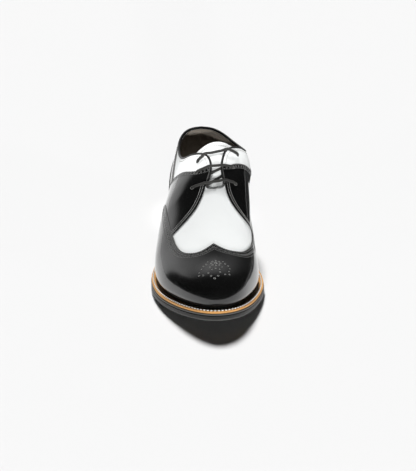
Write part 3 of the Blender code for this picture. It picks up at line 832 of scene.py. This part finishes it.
WING_TOP = {
    "lateral": [
        (0.400, 0.02), (0.415, 0.096), (0.435, 0.210), (0.470, 0.355), (0.511, 0.432),
        (0.565, 0.488), (0.618, 0.517), (0.655, 0.532), (0.690, 0.565), (0.718, 0.628),
        (0.738, 0.713), (0.748, 0.80), (0.749, 0.87), (0.746, 0.94), (0.742, 1.0),
    ],
    "medial": [
        (0.400, 0.02), (0.415, 0.086), (0.435, 0.177), (0.470, 0.258), (0.511, 0.293),
        (0.559, 0.330), (0.606, 0.383), (0.657, 0.47), (0.698, 0.565), (0.723, 0.67),
        (0.738, 0.765), (0.745, 0.85), (0.745, 0.93), (0.742, 1.0),
    ],
}
WING_LOW, WING_HIGH, WING_FOOT = 0.1, 1.6, 0.015
BLACK_EDGE = 0.45
black_leather = leather(
    "black_leather", (0.004, 0.0042, 0.0042), (0.006, 0.006, 0.006), (0.14, 0.24), 1500, 0.05,
    1.0, 0.06,
)
# The raw edges of the black sheets are painted a lighter grey: a painted highlight along the cut
# edges.
painted_edge_highlight = leather(
    "edge_grey_painted_highlight", (0.17, 0.17, 0.165), (0.11, 0.11, 0.105), (0.35, 0.5), 1500, 0.2, 0.4, 0.15
)


def add_overlay(name, outlines, low, high, node):
    """A black sheet cut to outlines as a piece, its raw edge painted a lighter grey as a highlight.
    """
    sheet = cut_sheet(outlines, low, high, BLACK_EDGE)
    return add_sheet(name, sheet, black_leather, painted_edge_highlight, "black_leather", node)


wing_edge = {side: drawn(rows) for side, rows in WING_TOP.items()}
wing_outline = {}
for side, line in wing_edge.items():
    teeth = gimped(side, line)
    teeth[-1] = line[-1]
    ridge = np.linspace(line[-1][0], 1, 60)[1:]
    tip = np.linspace(1, WING_FOOT, 40)[1:]
    foot = np.linspace(1, line[0][0], 150)[1:]
    wing_outline[side] = np.concatenate(
        [
            teeth,
            np.stack([ridge, np.ones_like(ridge)], -1),
            np.stack([np.ones_like(tip), tip], -1),
            np.stack([foot, np.full_like(foot, WING_FOOT)], -1),
        ]
    )
add_overlay("wing_tip_leather", wing_outline, WING_LOW, WING_HIGH, "wing_tip")


def laid_on(side, line, lift):
    """Points over the upper along a line, and the way out of it there."""
    out = slopes(side, *line.T)[2]
    return upper_face(side, *line.T) + lift * out, out


EDGE_MARGIN, FOOT_MARGIN = 0.003, 0.025
FINE_STITCH = dict(Pitch=0.0019, Size=(0.0016, 0.0006, 0.0005))
THREAD_LIFT, HOLE_LIFT = 0.1, 0.05


def row_inside(side, edge, distance):
    """The part of a row at a distance inside an edge that stays on this side of the shoe."""
    row = moved_in(side, edge, distance * INSIDE[side])
    on_side = row[:, 1] < throat_share(row[:, 0]) - EDGE_MARGIN
    return row[on_side & (row[:, 1] > FOOT_MARGIN)]


def stitch_rows(name, edges, distances, height, cord, slot="black_leather"):
    """Rows of stitches inside edges: (side, line) pairs at each distance in mm."""
    rows = [
        laid_on(side, row_inside(side, edge, distance), height + THREAD_LIFT)
        for side, edge in edges
        for distance in distances
    ]
    guide = guide_of(name, [row[0] for row in rows], up=[row[1] for row in rows])
    return grown(name, guide, STITCHES, slot, Thread=cord, **FINE_STITCH)


def at_pitch(side, line, pitch, start):
    """Places along a line at an even pitch in mm."""
    reach = run_along(upper_face(side, *line.T))
    spots = np.arange(start, reach[-1], pitch)
    return np.stack([np.interp(spots, reach, column) for column in line.T], -1)


HOLES, hole_in, hole_out = node_group(
    "punched_holes", [("Floor", "NodeSocketMaterial"), ("Lip", "NodeSocketMaterial")]
)
disc = add_node(
    HOLES, "GeometryNodeMeshCircle", {"Vertices": 10, "Radius": 0.46}, fill_type="NGON"
)
disc = add_node(
    HOLES, "GeometryNodeStoreNamedAttribute", {"Geometry": disc, "Name": "floor", "Value": True},
    data_type="BOOLEAN", domain="FACE",
)
lip_ring, lip_section = [
    add_node(HOLES, "GeometryNodeCurvePrimitiveCircle", {"Resolution": count, "Radius": radius})
    for count, radius in ((10, 0.5), (4, 0.11))
]
hole = add_node(HOLES, "GeometryNodeJoinGeometry", {"Geometry": disc})
raised = add_node(
    HOLES, "GeometryNodeCurveToMesh", {"Curve": lip_ring, "Profile Curve": lip_section}
)
HOLES.links.new(raised, hole.node.inputs["Geometry"])
upright = add_node(
    HOLES, "FunctionNodeAlignRotationToVector", {"Vector": kept_on(HOLES, "up", "FLOAT_VECTOR")},
    axis="Z",
)
punched = add_node(
    HOLES, "GeometryNodeInstanceOnPoints",
    {
        "Points": hole_in.outputs["Geometry"], "Instance": hole, "Rotation": upright,
        "Scale": kept_on(HOLES, "size", "FLOAT"),
    },
)
ending(
    HOLES, punched, hole_out, {"Material": hole_in.outputs["Lip"]},
    {"Material": hole_in.outputs["Floor"], "Selection": kept_on(HOLES, "floor", "BOOLEAN")},
)
# The hole floors are near-black discs laid on the face: painted shade of the hole's depth, over a
# dark backing.
hole_shade_and_backing = leather(
    "hole_shade_and_backing", (0.003, 0.003, 0.003), (0.006, 0.006, 0.006), (0.7, 0.9), 1500, 0.1
)
PAIR_SHIFT = 0.8


def punch(name, places, height, lip, slot="black_leather"):
    """Punched holes at places: (side, rows of station and share, size in mm)."""
    spots = [laid_on(side, line, height + HOLE_LIFT) for side, line, _ in places]
    sizes = [np.full(len(line), size / 1000) for _, line, size in places]
    guide = guide_of(name, [s[0] for s in spots], up=[s[1] for s in spots], size=sizes)
    return grown(name, guide, HOLES, slot, Floor=hole_shade_and_backing, Lip=lip)


def brogue(edges, distance, pitch, large, small):
    """Large holes along edges with a pair of small ones between each two."""
    places = []
    for side, edge in edges:
        middle = at_pitch(side, row_inside(side, edge, distance), pitch, 0.5 * pitch)
        places.append((side, middle, large))
        for step in (-PAIR_SHIFT, PAIR_SHIFT):
            row = at_pitch(side, row_inside(side, edge, distance + step), pitch, pitch)
            places.append((side, row, small))
    return places


# The hole lips are painted a lighter grey than the black leather: painted glints on the rims.
glint_painted_lip = leather(
    "glint_painted_lip", (0.24, 0.24, 0.235), (0.14, 0.14, 0.137), (0.25, 0.4), 1500, 0.1, 1.0, 0.05
)
# The dark thread is painted grey, lighter than black: painted glints on the stitches.
dark_thread_painted_glint = thread("dark_thread_painted_glint", (0.17, 0.17, 0.167), 0.4)
wing_edges = list(wing_edge.items())
BORDER_ROWS, BORDER = (1.6, 7.2), dict(distance=4.4, pitch=4.6, large=2.0, small=0.95)
stitch_rows("wing_tip_stitches", wing_edges, BORDER_ROWS, WING_HIGH, dark_thread_painted_glint)
MEDALLION = [
    (4.3, 256.9, 2.8), (2.0, 282.5, 2.2), (-1.1, 278.6, 1.8), (5.3, 278.8, 1.8),
    (-3.2, 273.3, 1.5), (7.5, 272.5, 1.5), (-8.3, 275.0, 1.5), (11.9, 275.5, 1.5),
    (-12.0, 273.7, 1.5), (16.1, 273.7, 1.5), (-11.8, 269.2, 1.2), (15.9, 269.0, 1.2),
    (-4.8, 257.6, 1.6), (13.2, 257.0, 1.6), (-7.5, 260.5, 1.4), (15.8, 259.8, 1.4),
    (-3.2, 253.5, 1.3), (11.4, 253.2, 1.3), (-9.4, 264.6, 1.2), (17.0, 264.0, 1.2),
    (-1.6, 263.6, 1.2), (9.8, 263.2, 1.2), (0.4, 268.2, 1.2), (7.4, 267.8, 1.2),
    (3.6, 266.4, 1.5),
]
ROSE_ACROSS, ROSE_ALONG, ROSE_RADIUS, ROSE_HOLE = 4.3, 256.9, 4.3, 1.5
MEDALLION += [
    (ROSE_ACROSS + ROSE_RADIUS * np.cos(turn), ROSE_ALONG + ROSE_RADIUS * np.sin(turn), ROSE_HOLE)
    for turn in np.arange(8) * np.pi / 4
]
toe_grid = np.meshgrid(np.linspace(0.74, 0.998, 260), np.linspace(0.3, 1, 280))
toe_grid = np.stack(toe_grid, -1).reshape(-1, 2)
toe_plan = {side: upper_face(side, *toe_grid.T)[:, :2] for side in SIDES}
medallion_places = []
for across, along, size in MEDALLION:
    near = {s: np.hypot(*(plan - (across, along)).T) for s, plan in toe_plan.items()}
    side = min(near, key=lambda s: near[s].min())
    medallion_places.append((side, toe_grid[[near[side].argmin()]], size))
punch("wing_tip_holes", brogue(wing_edges, **BORDER), WING_HIGH, glint_painted_lip)
# The medallion's lips are painted paler still: painted bright glints.
bright_glint_painted_lip = leather(
    "medallion_lip_painted_glint", (0.42, 0.42, 0.41), (0.25, 0.25, 0.24), (0.25, 0.4), 1500, 0.1, 1.0, 0.05
)
punch("medallion_holes", medallion_places, WING_HIGH, bright_glint_painted_lip)


# Quarters: black polished leather, one on each side, joined at the back. Their front edges are
# folded over and lie free on the vamp; the collar panel is cut out of their upper edge.
QUARTER_FRONT = {
    "lateral": [
        (0.530, 0.901), (0.551, 0.880), (0.571, 0.847), (0.591, 0.785), (0.606, 0.680),
        (0.613, 0.570), (0.614, 0.517), (0.613, 0.440),
    ],
    "medial": [
        (0.530, 0.901), (0.548, 0.876), (0.565, 0.826), (0.577, 0.750), (0.581, 0.630),
        (0.571, 0.490), (0.558, 0.380), (0.548, 0.280),
    ],
}
COLLAR_SEAM = {
    "lateral": [
        (0.238, 1.0), (0.250, 0.880), (0.274, 0.765), (0.320, 0.655), (0.375, 0.594),
        (0.414, 0.592), (0.432, 0.637), (0.456, 0.703), (0.473, 0.785), (0.481, 0.853),
        (0.484, 0.932),
    ],
    "medial": [
        (0.316, 1.0), (0.325, 0.890), (0.341, 0.780), (0.364, 0.690), (0.392, 0.636),
        (0.411, 0.641), (0.425, 0.667), (0.445, 0.720), (0.464, 0.803), (0.478, 0.878),
        (0.484, 0.932),
    ],
}
QUARTER_LOW, QUARTER_HIGH, QUARTER_FOOT = 0.1, 0.95, 0.02
FRONT_BEAD, BEAD_END = 0.6, {"lateral": 0.53, "medial": 0.35}
BACK_SEAM, FOOT_BACK = 0.003, 0.02
seam_edge = {side: drawn(rows) for side, rows in COLLAR_SEAM.items()}
front_edge = {side: drawn(rows) for side, rows in QUARTER_FRONT.items()}


def straight(start, end, spacing=2.0):
    """Points between two places on the upper, without the first one."""
    span = np.linalg.norm((np.array(end) - start) * PLAN_SCALE)
    part = np.linspace(0, 1, max(2, int(span / spacing)))[1:, None]
    return np.array(start) + (np.array(end) - start) * part


for side in SIDES:
    teeth = gimped(side, seam_edge[side])
    teeth[[0, -1]] = seam_edge[side][[0, -1]]
    front = front_edge[side]
    facing = np.linspace(teeth[-1][0], front[0][0], 24)[1:]
    facing = np.stack([facing, throat_share(facing)], -1)
    low_front = (front[-1][0] - FOOT_BACK, QUARTER_FOOT)
    low_back, high_back = (BACK_SEAM, QUARTER_FOOT), (BACK_SEAM, 1.0)
    outline = np.concatenate(
        [
            [high_back],
            straight(high_back, teeth[0]),
            teeth[1:],
            facing,
            front[1:],
            straight(front[-1], low_front),
            straight(low_front, low_back),
            straight(low_back, high_back)[:-1],
        ]
    )
    name = f"quarter_{side}"
    add_overlay(name + "_leather", {side: outline}, QUARTER_LOW, QUARTER_HIGH, name)


def tube(path, half_width, half_thickness, ups, sides):
    """Closed oval cord along a path; ups give the direction of its thin side."""
    path = np.asarray(path, float)
    ahead = unit(np.gradient(path, axis=0))
    wide = unit(np.cross(ahead, ups))
    thin = np.cross(wide, ahead)
    angle = np.arange(sides) * 2 * np.pi / sides
    ring = (
        half_width * np.cos(angle)[None, :, None] * wide[:, None]
        + half_thickness * np.sin(angle)[None, :, None] * thin[:, None]
    )
    faces = []
    for i in range(len(path) - 1):
        for j in range(sides):
            k = (j + 1) % sides
            faces.append([i * sides + j, i * sides + k, (i + 1) * sides + k, (i + 1) * sides + j])
    faces.append(list(range(sides)))
    faces.append([(len(path) - 1) * sides + j for j in range(sides)])
    return (path[:, None] + ring).reshape(-1, 3), faces


BEAD_SINK = 0.35
for side, line in front_edge.items():
    shown = line[line[:, 1] > BEAD_END[side]]
    path, up = laid_on(side, shown, QUARTER_HIGH - BEAD_SINK)
    fold = tube(path, FRONT_BEAD, FRONT_BEAD, up, 10)
    add_solid(f"quarter_{side}_fold", fold, black_leather, "black_leather", angle=60)
SEAM_ROWS, SEAM_BORDER = (1.2, 5.2), dict(distance=3.2, pitch=3.8, large=1.6, small=0.8)
FRONT_ROWS = (1.9, 4.0)
seam_edges = list(seam_edge.items())
front_edges = list(front_edge.items())
# The front rows are grey stitches, painted paler so that the first row also stands for the
# highlight on the folded front edge.
grey_thread_and_highlight = thread("grey_thread_and_highlight", (0.42, 0.42, 0.41), 0.45)
stitch_rows("quarter_seam_stitches", seam_edges, SEAM_ROWS, QUARTER_HIGH, dark_thread_painted_glint)
stitch_rows("quarter_front_stitches", front_edges, FRONT_ROWS, QUARTER_HIGH, grey_thread_and_highlight)
punch("quarter_holes", brogue(seam_edges, **SEAM_BORDER), QUARTER_HIGH, glint_painted_lip)


# Heel counter: a black piece sewn round the back over both quarters, gimped and punched along
# its edge like the wing tip.
COUNTER_TOP = [
    (0.0, 0.80), (0.06, 0.78), (0.12, 0.70), (0.20, 0.50), (0.27, 0.28), (0.33, 0.10),
    (0.36, 0.03),
]
COUNTER_BACK = 0.004
counter_edge = drawn(COUNTER_TOP)
counter_outline = {}
for side in SIDES:
    teeth = gimped(side, counter_edge)
    teeth[0] = counter_edge[0]
    low_front = (counter_edge[-1][0] - COUNTER_BACK, WING_FOOT)
    low_back = (0.0, WING_FOOT)
    counter_outline[side] = np.concatenate(
        [
            teeth,
            straight(counter_edge[-1], low_front),
            straight(low_front, low_back),
            straight(low_back, COUNTER_TOP[0])[:-1],
        ]
    )
add_overlay("heel_counter_leather", counter_outline, WING_LOW, WING_HIGH, "heel_counter")
counter_edges = [(side, counter_edge) for side in SIDES]
stitch_rows("counter_stitches", counter_edges, BORDER_ROWS, WING_HIGH, dark_thread_painted_glint)
punch("counter_holes", brogue(counter_edges, **BORDER), WING_HIGH, glint_painted_lip)


# Binding: a narrow black leather strip folded over the raw edge of the collar and the facings.
# It is sewn on; a pale row of stitches follows it on the panels and on the lining.
BINDING_HALF, BINDING_RISE, BINDING_SINK, BINDING_STAND = 1.4, 1.3, 0.75, 1.1
edge_path = []
edge_up = []
for side, order in SIDES.items():
    station = np.linspace(0 if side == "lateral" else 0.004, VAMP_START, 180)
    rim_share = np.minimum(throat_share(station), 1)
    _, rise, up = slopes(side, np.clip(station, 0.002, 1), rim_share - 0.002)
    edge = upper_face(side, station, rim_share) - BINDING_SINK * up + BINDING_STAND * unit(rise)
    edge_path.append(edge[::order])
    edge_up.append(up[::order])
binding = tube(
    np.concatenate(edge_path), BINDING_RISE, BINDING_HALF, np.concatenate(edge_up), 12
)
binding_leather = leather(
    "binding_black", (0.013, 0.013, 0.013), (0.02, 0.02, 0.02), (0.35, 0.5), 1500, 0.15, 0.1, 0.2
)
add_solid("binding_strip", binding, binding_leather, "black_leather", "binding", angle=60)
PANEL_ROW, COLLAR_ROW = 2.8, 3.4
COLLAR_STITCH = dict(Pitch=0.0022, Size=(0.0019, 0.0008, 0.0006))
# The pale thread is grey, not white: on the white panels and tongue its colour partly stands for
# the shade in the stitch line, painted shade.
pale_thread = thread("pale_thread", (0.40, 0.39, 0.37), 0.5)
panel_edges = []
inside_rows = []
for side in SIDES:
    station = np.linspace(0.335, 0.482, 180)
    panel_edges.append((side, np.stack([station, throat_share(station)], -1)))
    station = np.linspace(0.01, 0.42, 260)
    collar = np.stack([station, np.minimum(throat_share(station), 1)], -1)
    inside_rows.append(laid_on(side, row_inside(side, collar, COLLAR_ROW), -WALL - THREAD_LIFT))
stitch_rows("panel_stitches", panel_edges, (PANEL_ROW,), 0, pale_thread, "white_leather")
grown(
    "collar_stitches",
    guide_of("collar_line", [row[0] for row in inside_rows], up=[-row[1] for row in inside_rows]),
    STITCHES, "insole_brown", Thread=pale_thread, **COLLAR_STITCH,
)


# Tongue: a white leather sheet sewn under the vamp, rising between the facings to a rounded
# top edge.
TONGUE, TONGUE_RADIUS, TONGUE_EDGE = 2.2, 22.0, 0.6
TONGUE_RISES, TONGUE_WIDTHS, TONGUE_ROW, ROW_DIP = 70, 41, 0.945, 0.02
TONGUE_LINE = table(
    "along height half_width tilt",
    [
        (167, 68.6, 14, 0), (151.5, 77.2, 16, 0.01), (140, 83.4, 17, 0.04),
        (127, 90.4, 17.5, 0.05), (112, 96.8, 19.5, 0.08), (100, 102.0, 23, 0.11),
        (86, 109.4, 26.5, 0.11),
    ],
)
tongue_height = curve_through(-TONGUE_LINE["along"], TONGUE_LINE["height"])
tongue_half = curve_through(-TONGUE_LINE["along"], TONGUE_LINE["half_width"])
tongue_tilt = curve_through(-TONGUE_LINE["along"], TONGUE_LINE["tilt"])


def tongue_face(up, across):
    """Points on the tongue's face: up from 0 to 1, across from -1 to 1."""
    low_end, high_end = TONGUE_LINE["along"][[0, -1]]
    along = low_end + (high_end - low_end) * up + 2 * up**4 * across**2
    off = across * tongue_half(-along)
    fall = off**2 / (2 * TONGUE_RADIUS) - tongue_tilt(-along) * off
    return np.stack([middle_at(along) + off, along, tongue_height(-along) - fall], -1)


def tongue_out(up, across):
    """The way out of the tongue's face."""
    step = 1e-3
    rise = tongue_face(up + step, across) - tongue_face(up - step, across)
    wide = tongue_face(up, across + step) - tongue_face(up, across - step)
    out = np.cross(rise, wide)
    return unit(out * np.sign(out[..., 2:]))


tongue_up, tongue_across = np.meshgrid(
    np.linspace(0.004, 0.99, TONGUE_RISES), np.linspace(-0.96, 0.96, TONGUE_WIDTHS), indexing="ij"
)
tongue_quads = [
    [a, a + 1, a + TONGUE_WIDTHS + 1, a + TONGUE_WIDTHS]
    for i in range(TONGUE_RISES - 1)
    for a in range(i * TONGUE_WIDTHS, (i + 1) * TONGUE_WIDTHS - 1)
]
tongue_points = tongue_face(tongue_up, tongue_across).reshape(-1, 3)
tongue_normal = tongue_out(tongue_up, tongue_across).reshape(-1, 3)
first = tongue_points[tongue_quads[0]]
if np.dot(np.cross(first[1] - first[0], first[2] - first[0]), tongue_normal[0]) < 0:
    tongue_quads = [face[::-1] for face in tongue_quads]
add_sheet(
    "tongue_leather",
    rounded_sheet(tongue_points, tongue_quads, tongue_normal, -TONGUE, 0, TONGUE_EDGE),
    white_leather, white_leather, "white_leather", "tongue",
)
tongue_row = np.linspace(-0.9, 0.9, 120)
tongue_row = (TONGUE_ROW - ROW_DIP * tongue_row**4, tongue_row)
tongue_line = tongue_face(*tongue_row) + THREAD_LIFT * tongue_out(*tongue_row)
grown(
    "tongue_stitches", guide_of("tongue_line", [tongue_line], up=[tongue_out(*tongue_row)]),
    STITCHES, "white_leather", Thread=pale_thread, **FINE_STITCH,
)


# Lace: one woven flat cord, dark grey. Three bars cross the throat from eyelet to eyelet, with
# two slanting strands under them; the ends stop under the top eyelets.
LACE_WIDTH, LACE_THICKNESS, EYELET, FACING_EDGE = 3.3, 1.8, 3.6, 0.005
EYELETS = table(
    "lateral_station lateral_share medial_station medial_share",
    [
        (0.445, 0.818, 0.430, 0.820), (0.481, 0.800, 0.476, 0.818), (0.521, 0.769, 0.515, 0.772),
    ],
)
LACE_CROSSINGS = table(
    "lateral_station medial_station", [(0.437, 0.436), (0.484, 0.487), (0.528, 0.524)]
)
LACE_LIFT = table(
    "part lift",
    [(-0.03, -1.5), (0.04, 0.3), (0.13, 1.5), (0.3, 1.9), (0.55, 1.9), (0.8, 2.2), (1.0, 2.5)],
)
lace_paths = []
for row in range(3):
    stops = []
    for side in SIDES:
        eyelet = EYELETS[f"{side}_station"][row]
        share = EYELETS[f"{side}_share"][row]
        crossing = LACE_CROSSINGS[f"{side}_station"][row]
        station = eyelet + (crossing - eyelet) * LACE_LIFT["part"]
        up_rib = share + (throat_share(crossing) - FACING_EDGE - share) * LACE_LIFT["part"]
        out = slopes(side, station, up_rib)[2]
        stops.append(upper_face(side, station, up_rib) + LACE_LIFT["lift"][:, None] * out)
    across = [stops[0][-1] + (stops[1][-1] - stops[0][-1]) * part for part in (0.25, 0.5, 0.75)]
    stops = np.concatenate([stops[0], across, stops[1][::-1]])
    reach = run_along(stops)
    spots = np.linspace(0, reach[-1], 60)
    lace_paths.append(np.stack([curve_through(reach, way)(spots) for way in stops.T], -1))
RISING = np.array([0.0, 0.5, 0.87])
SLANTS = [((0.500, -1.2), (0.489, -0.2)), ((0.531, -1.0), (0.507, -1.2))]
for (lateral, lift), (medial, far_lift) in SLANTS:
    start = upper_face("lateral", lateral, throat_share(lateral))
    end = upper_face("medial", medial, throat_share(medial))
    part = np.linspace(-0.08, 1.08, 24)[:, None]
    run = start + (end - start) * part
    lace_paths.append(run + (lift + (far_lift - lift) * part) * RISING)
lace_points = []
lace_faces = []
for path in lace_paths:
    points, faces = tube(
        path, LACE_WIDTH / 2, LACE_THICKNESS / 2, np.tile(RISING, (len(path), 1)), 14
    )
    start = sum(map(len, lace_points))
    lace_points.append(points)
    lace_faces += [[start + corner for corner in face] for face in faces]
lace_cotton = leather(
    "lace_grey", (0.045, 0.044, 0.042), (0.03, 0.03, 0.029), (0.6, 0.8), 2600, 0.6
)
lace = (np.concatenate(lace_points), lace_faces)
add_solid("lace_cord", lace, lace_cotton, "lace_grey", "lace", angle=60)
# The quarter eyelets have lighter grey lips as painted glints, and all eyelets have dark floors as
# painted shade of the hole.
for name, rows, height, lip, slot in (
    ("panel_eyelets", slice(0, 1), 0, white_leather, "white_leather"),
    ("quarter_eyelets", slice(1, 3), QUARTER_HIGH, painted_edge_highlight, "black_leather"),
):
    spots = {
        side: np.stack([EYELETS[f"{side}_station"], EYELETS[f"{side}_share"]], -1)[rows]
        for side in SIDES
    }
    punch(name, [(side, spot, EYELET) for side, spot in spots.items()], height, lip, slot)


# Studio: a plain pale floor. The key light comes from behind and above, with low fills from the
# front and the sides and a narrow beam into the opening. A fading wall behind, broken by a dark
# card on the floor, shows only in the polish.
def matt_plane(name, finish, low, high, height, shade):
    """A flat matt plane between two corners."""
    mesh = bpy.data.meshes.new(name)
    corners = [low, (high[0], low[1]), high, (low[0], high[1])]
    mesh.from_pydata([(*corner, height) for corner in corners], [], [(0, 1, 2, 3)])
    material, tree, shader = new_material(finish)
    colour = (shade, shade, shade, 1)
    fill(tree, shader, {"Base Color": colour, "Roughness": 0.9, "Specular IOR Level": 0.0})
    mesh.materials.append(material)
    plane = bpy.data.objects.new(name, mesh)
    bpy.context.scene.collection.objects.link(plane)
    return plane


def add_light(name, kind, power, travel, spot=(0, 0, 0), in_polish=False, **settings):
    """A light that shines along travel. It shows in the polish alone, or everywhere else."""
    lamp = bpy.data.lights.new(name, kind)
    lamp.energy = power
    for label, value in settings.items():
        setattr(lamp, label, value)
    light = bpy.data.objects.new(name, lamp)
    light.location = spot
    light.rotation_euler = Vector(travel).to_track_quat("-Z", "Y").to_euler()
    light.visible_glossy = in_polish
    light.visible_diffuse = not in_polish
    bpy.context.scene.collection.objects.link(light)
    return lamp


floor = matt_plane("floor", "floor_white", (-6, -6), (6, 14), 0, 0.70)
card = matt_plane("dark_card", "card_dark", (0.1, 0.16), (1.9, 2.25), 0.002, 0.03)
card.visible_camera = card.visible_diffuse = card.visible_shadow = False
for name, travel, power, angle in (
    ("key_light", (0.03, -0.72, -0.69), 6.0, 10),
    ("front_fill", (0.0, 0.999, -0.018), 2.4, 3),
    ("left_fill", (0.75, 0.66, -0.018), 0.65, 3),
    ("right_fill", (-0.75, 0.66, -0.018), 1.6, 3),
):
    add_light(name, "SUN", power, travel, angle=np.radians(angle))
BEAM_START, BEAM_END, BEAM_WIDTH = (0.0, -0.69, 1.28), (0.002, 0.066, 0.09), 0.080
beam = Vector(BEAM_END) - Vector(BEAM_START)
add_light(
    "opening_light", "SPOT", 90.0, beam, BEAM_START,
    spot_size=2 * np.arctan(BEAM_WIDTH / 2 / beam.length), spot_blend=0.7, shadow_soft_size=0.03,
)
wall_light = add_light(
    "back_wall", "AREA", 1.0, (0, -1, 0), (-0.35, 2.3, 1.53), True,
    shape="RECTANGLE", size=5.6, size_y=3.0,
)
wall_light.use_nodes = True
wall_tree = wall_light.node_tree
on_wall = add_node(wall_tree, "ShaderNodeNewGeometry", out="Parametric")
on_wall = add_node(wall_tree, "ShaderNodeSeparateXYZ", {0: on_wall}).node.outputs
glow = 38.0
for axis, dark, bright in (("X", 0.0, 0.6), ("X", 1.0, 0.88), ("Y", 1.0, 0.45)):
    fade = add_node(
        wall_tree, "ShaderNodeMapRange",
        {"Value": on_wall[axis], "From Min": dark, "From Max": bright},
        interpolation_type="SMOOTHSTEP",
    )
    glow = add_node(wall_tree, "ShaderNodeMath", {0: fade, 1: glow}, operation="MULTIPLY")
wall_tree.links.new(glow, wall_tree.nodes["Emission"].inputs["Strength"])
world = bpy.data.worlds.new("studio")
world.use_nodes = True
world.node_tree.nodes["Background"].inputs["Color"].default_value = (1, 1, 1, 1)
world.node_tree.nodes["Background"].inputs["Strength"].default_value = 0.001
bpy.context.scene.world = world
bpy.context.scene.view_settings.view_transform = "Standard"


# Camera: a long lens in front of the toe, a little to its left and looking down on it by about
# 24 degrees, as the shoe was photographed.
lens = bpy.data.cameras.new("camera")
lens.lens = 170.2
lens.sensor_width = 36
lens.sensor_fit = "HORIZONTAL"
camera = bpy.data.objects.new("camera", lens)
camera.location = (-0.0890, -1.8248, 0.8463)
camera.rotation_euler = Vector((0.0462, 0.9124, -0.4067)).to_track_quat("-Z", "Y").to_euler()
bpy.context.scene.collection.objects.link(camera)
bpy.context.scene.camera = camera
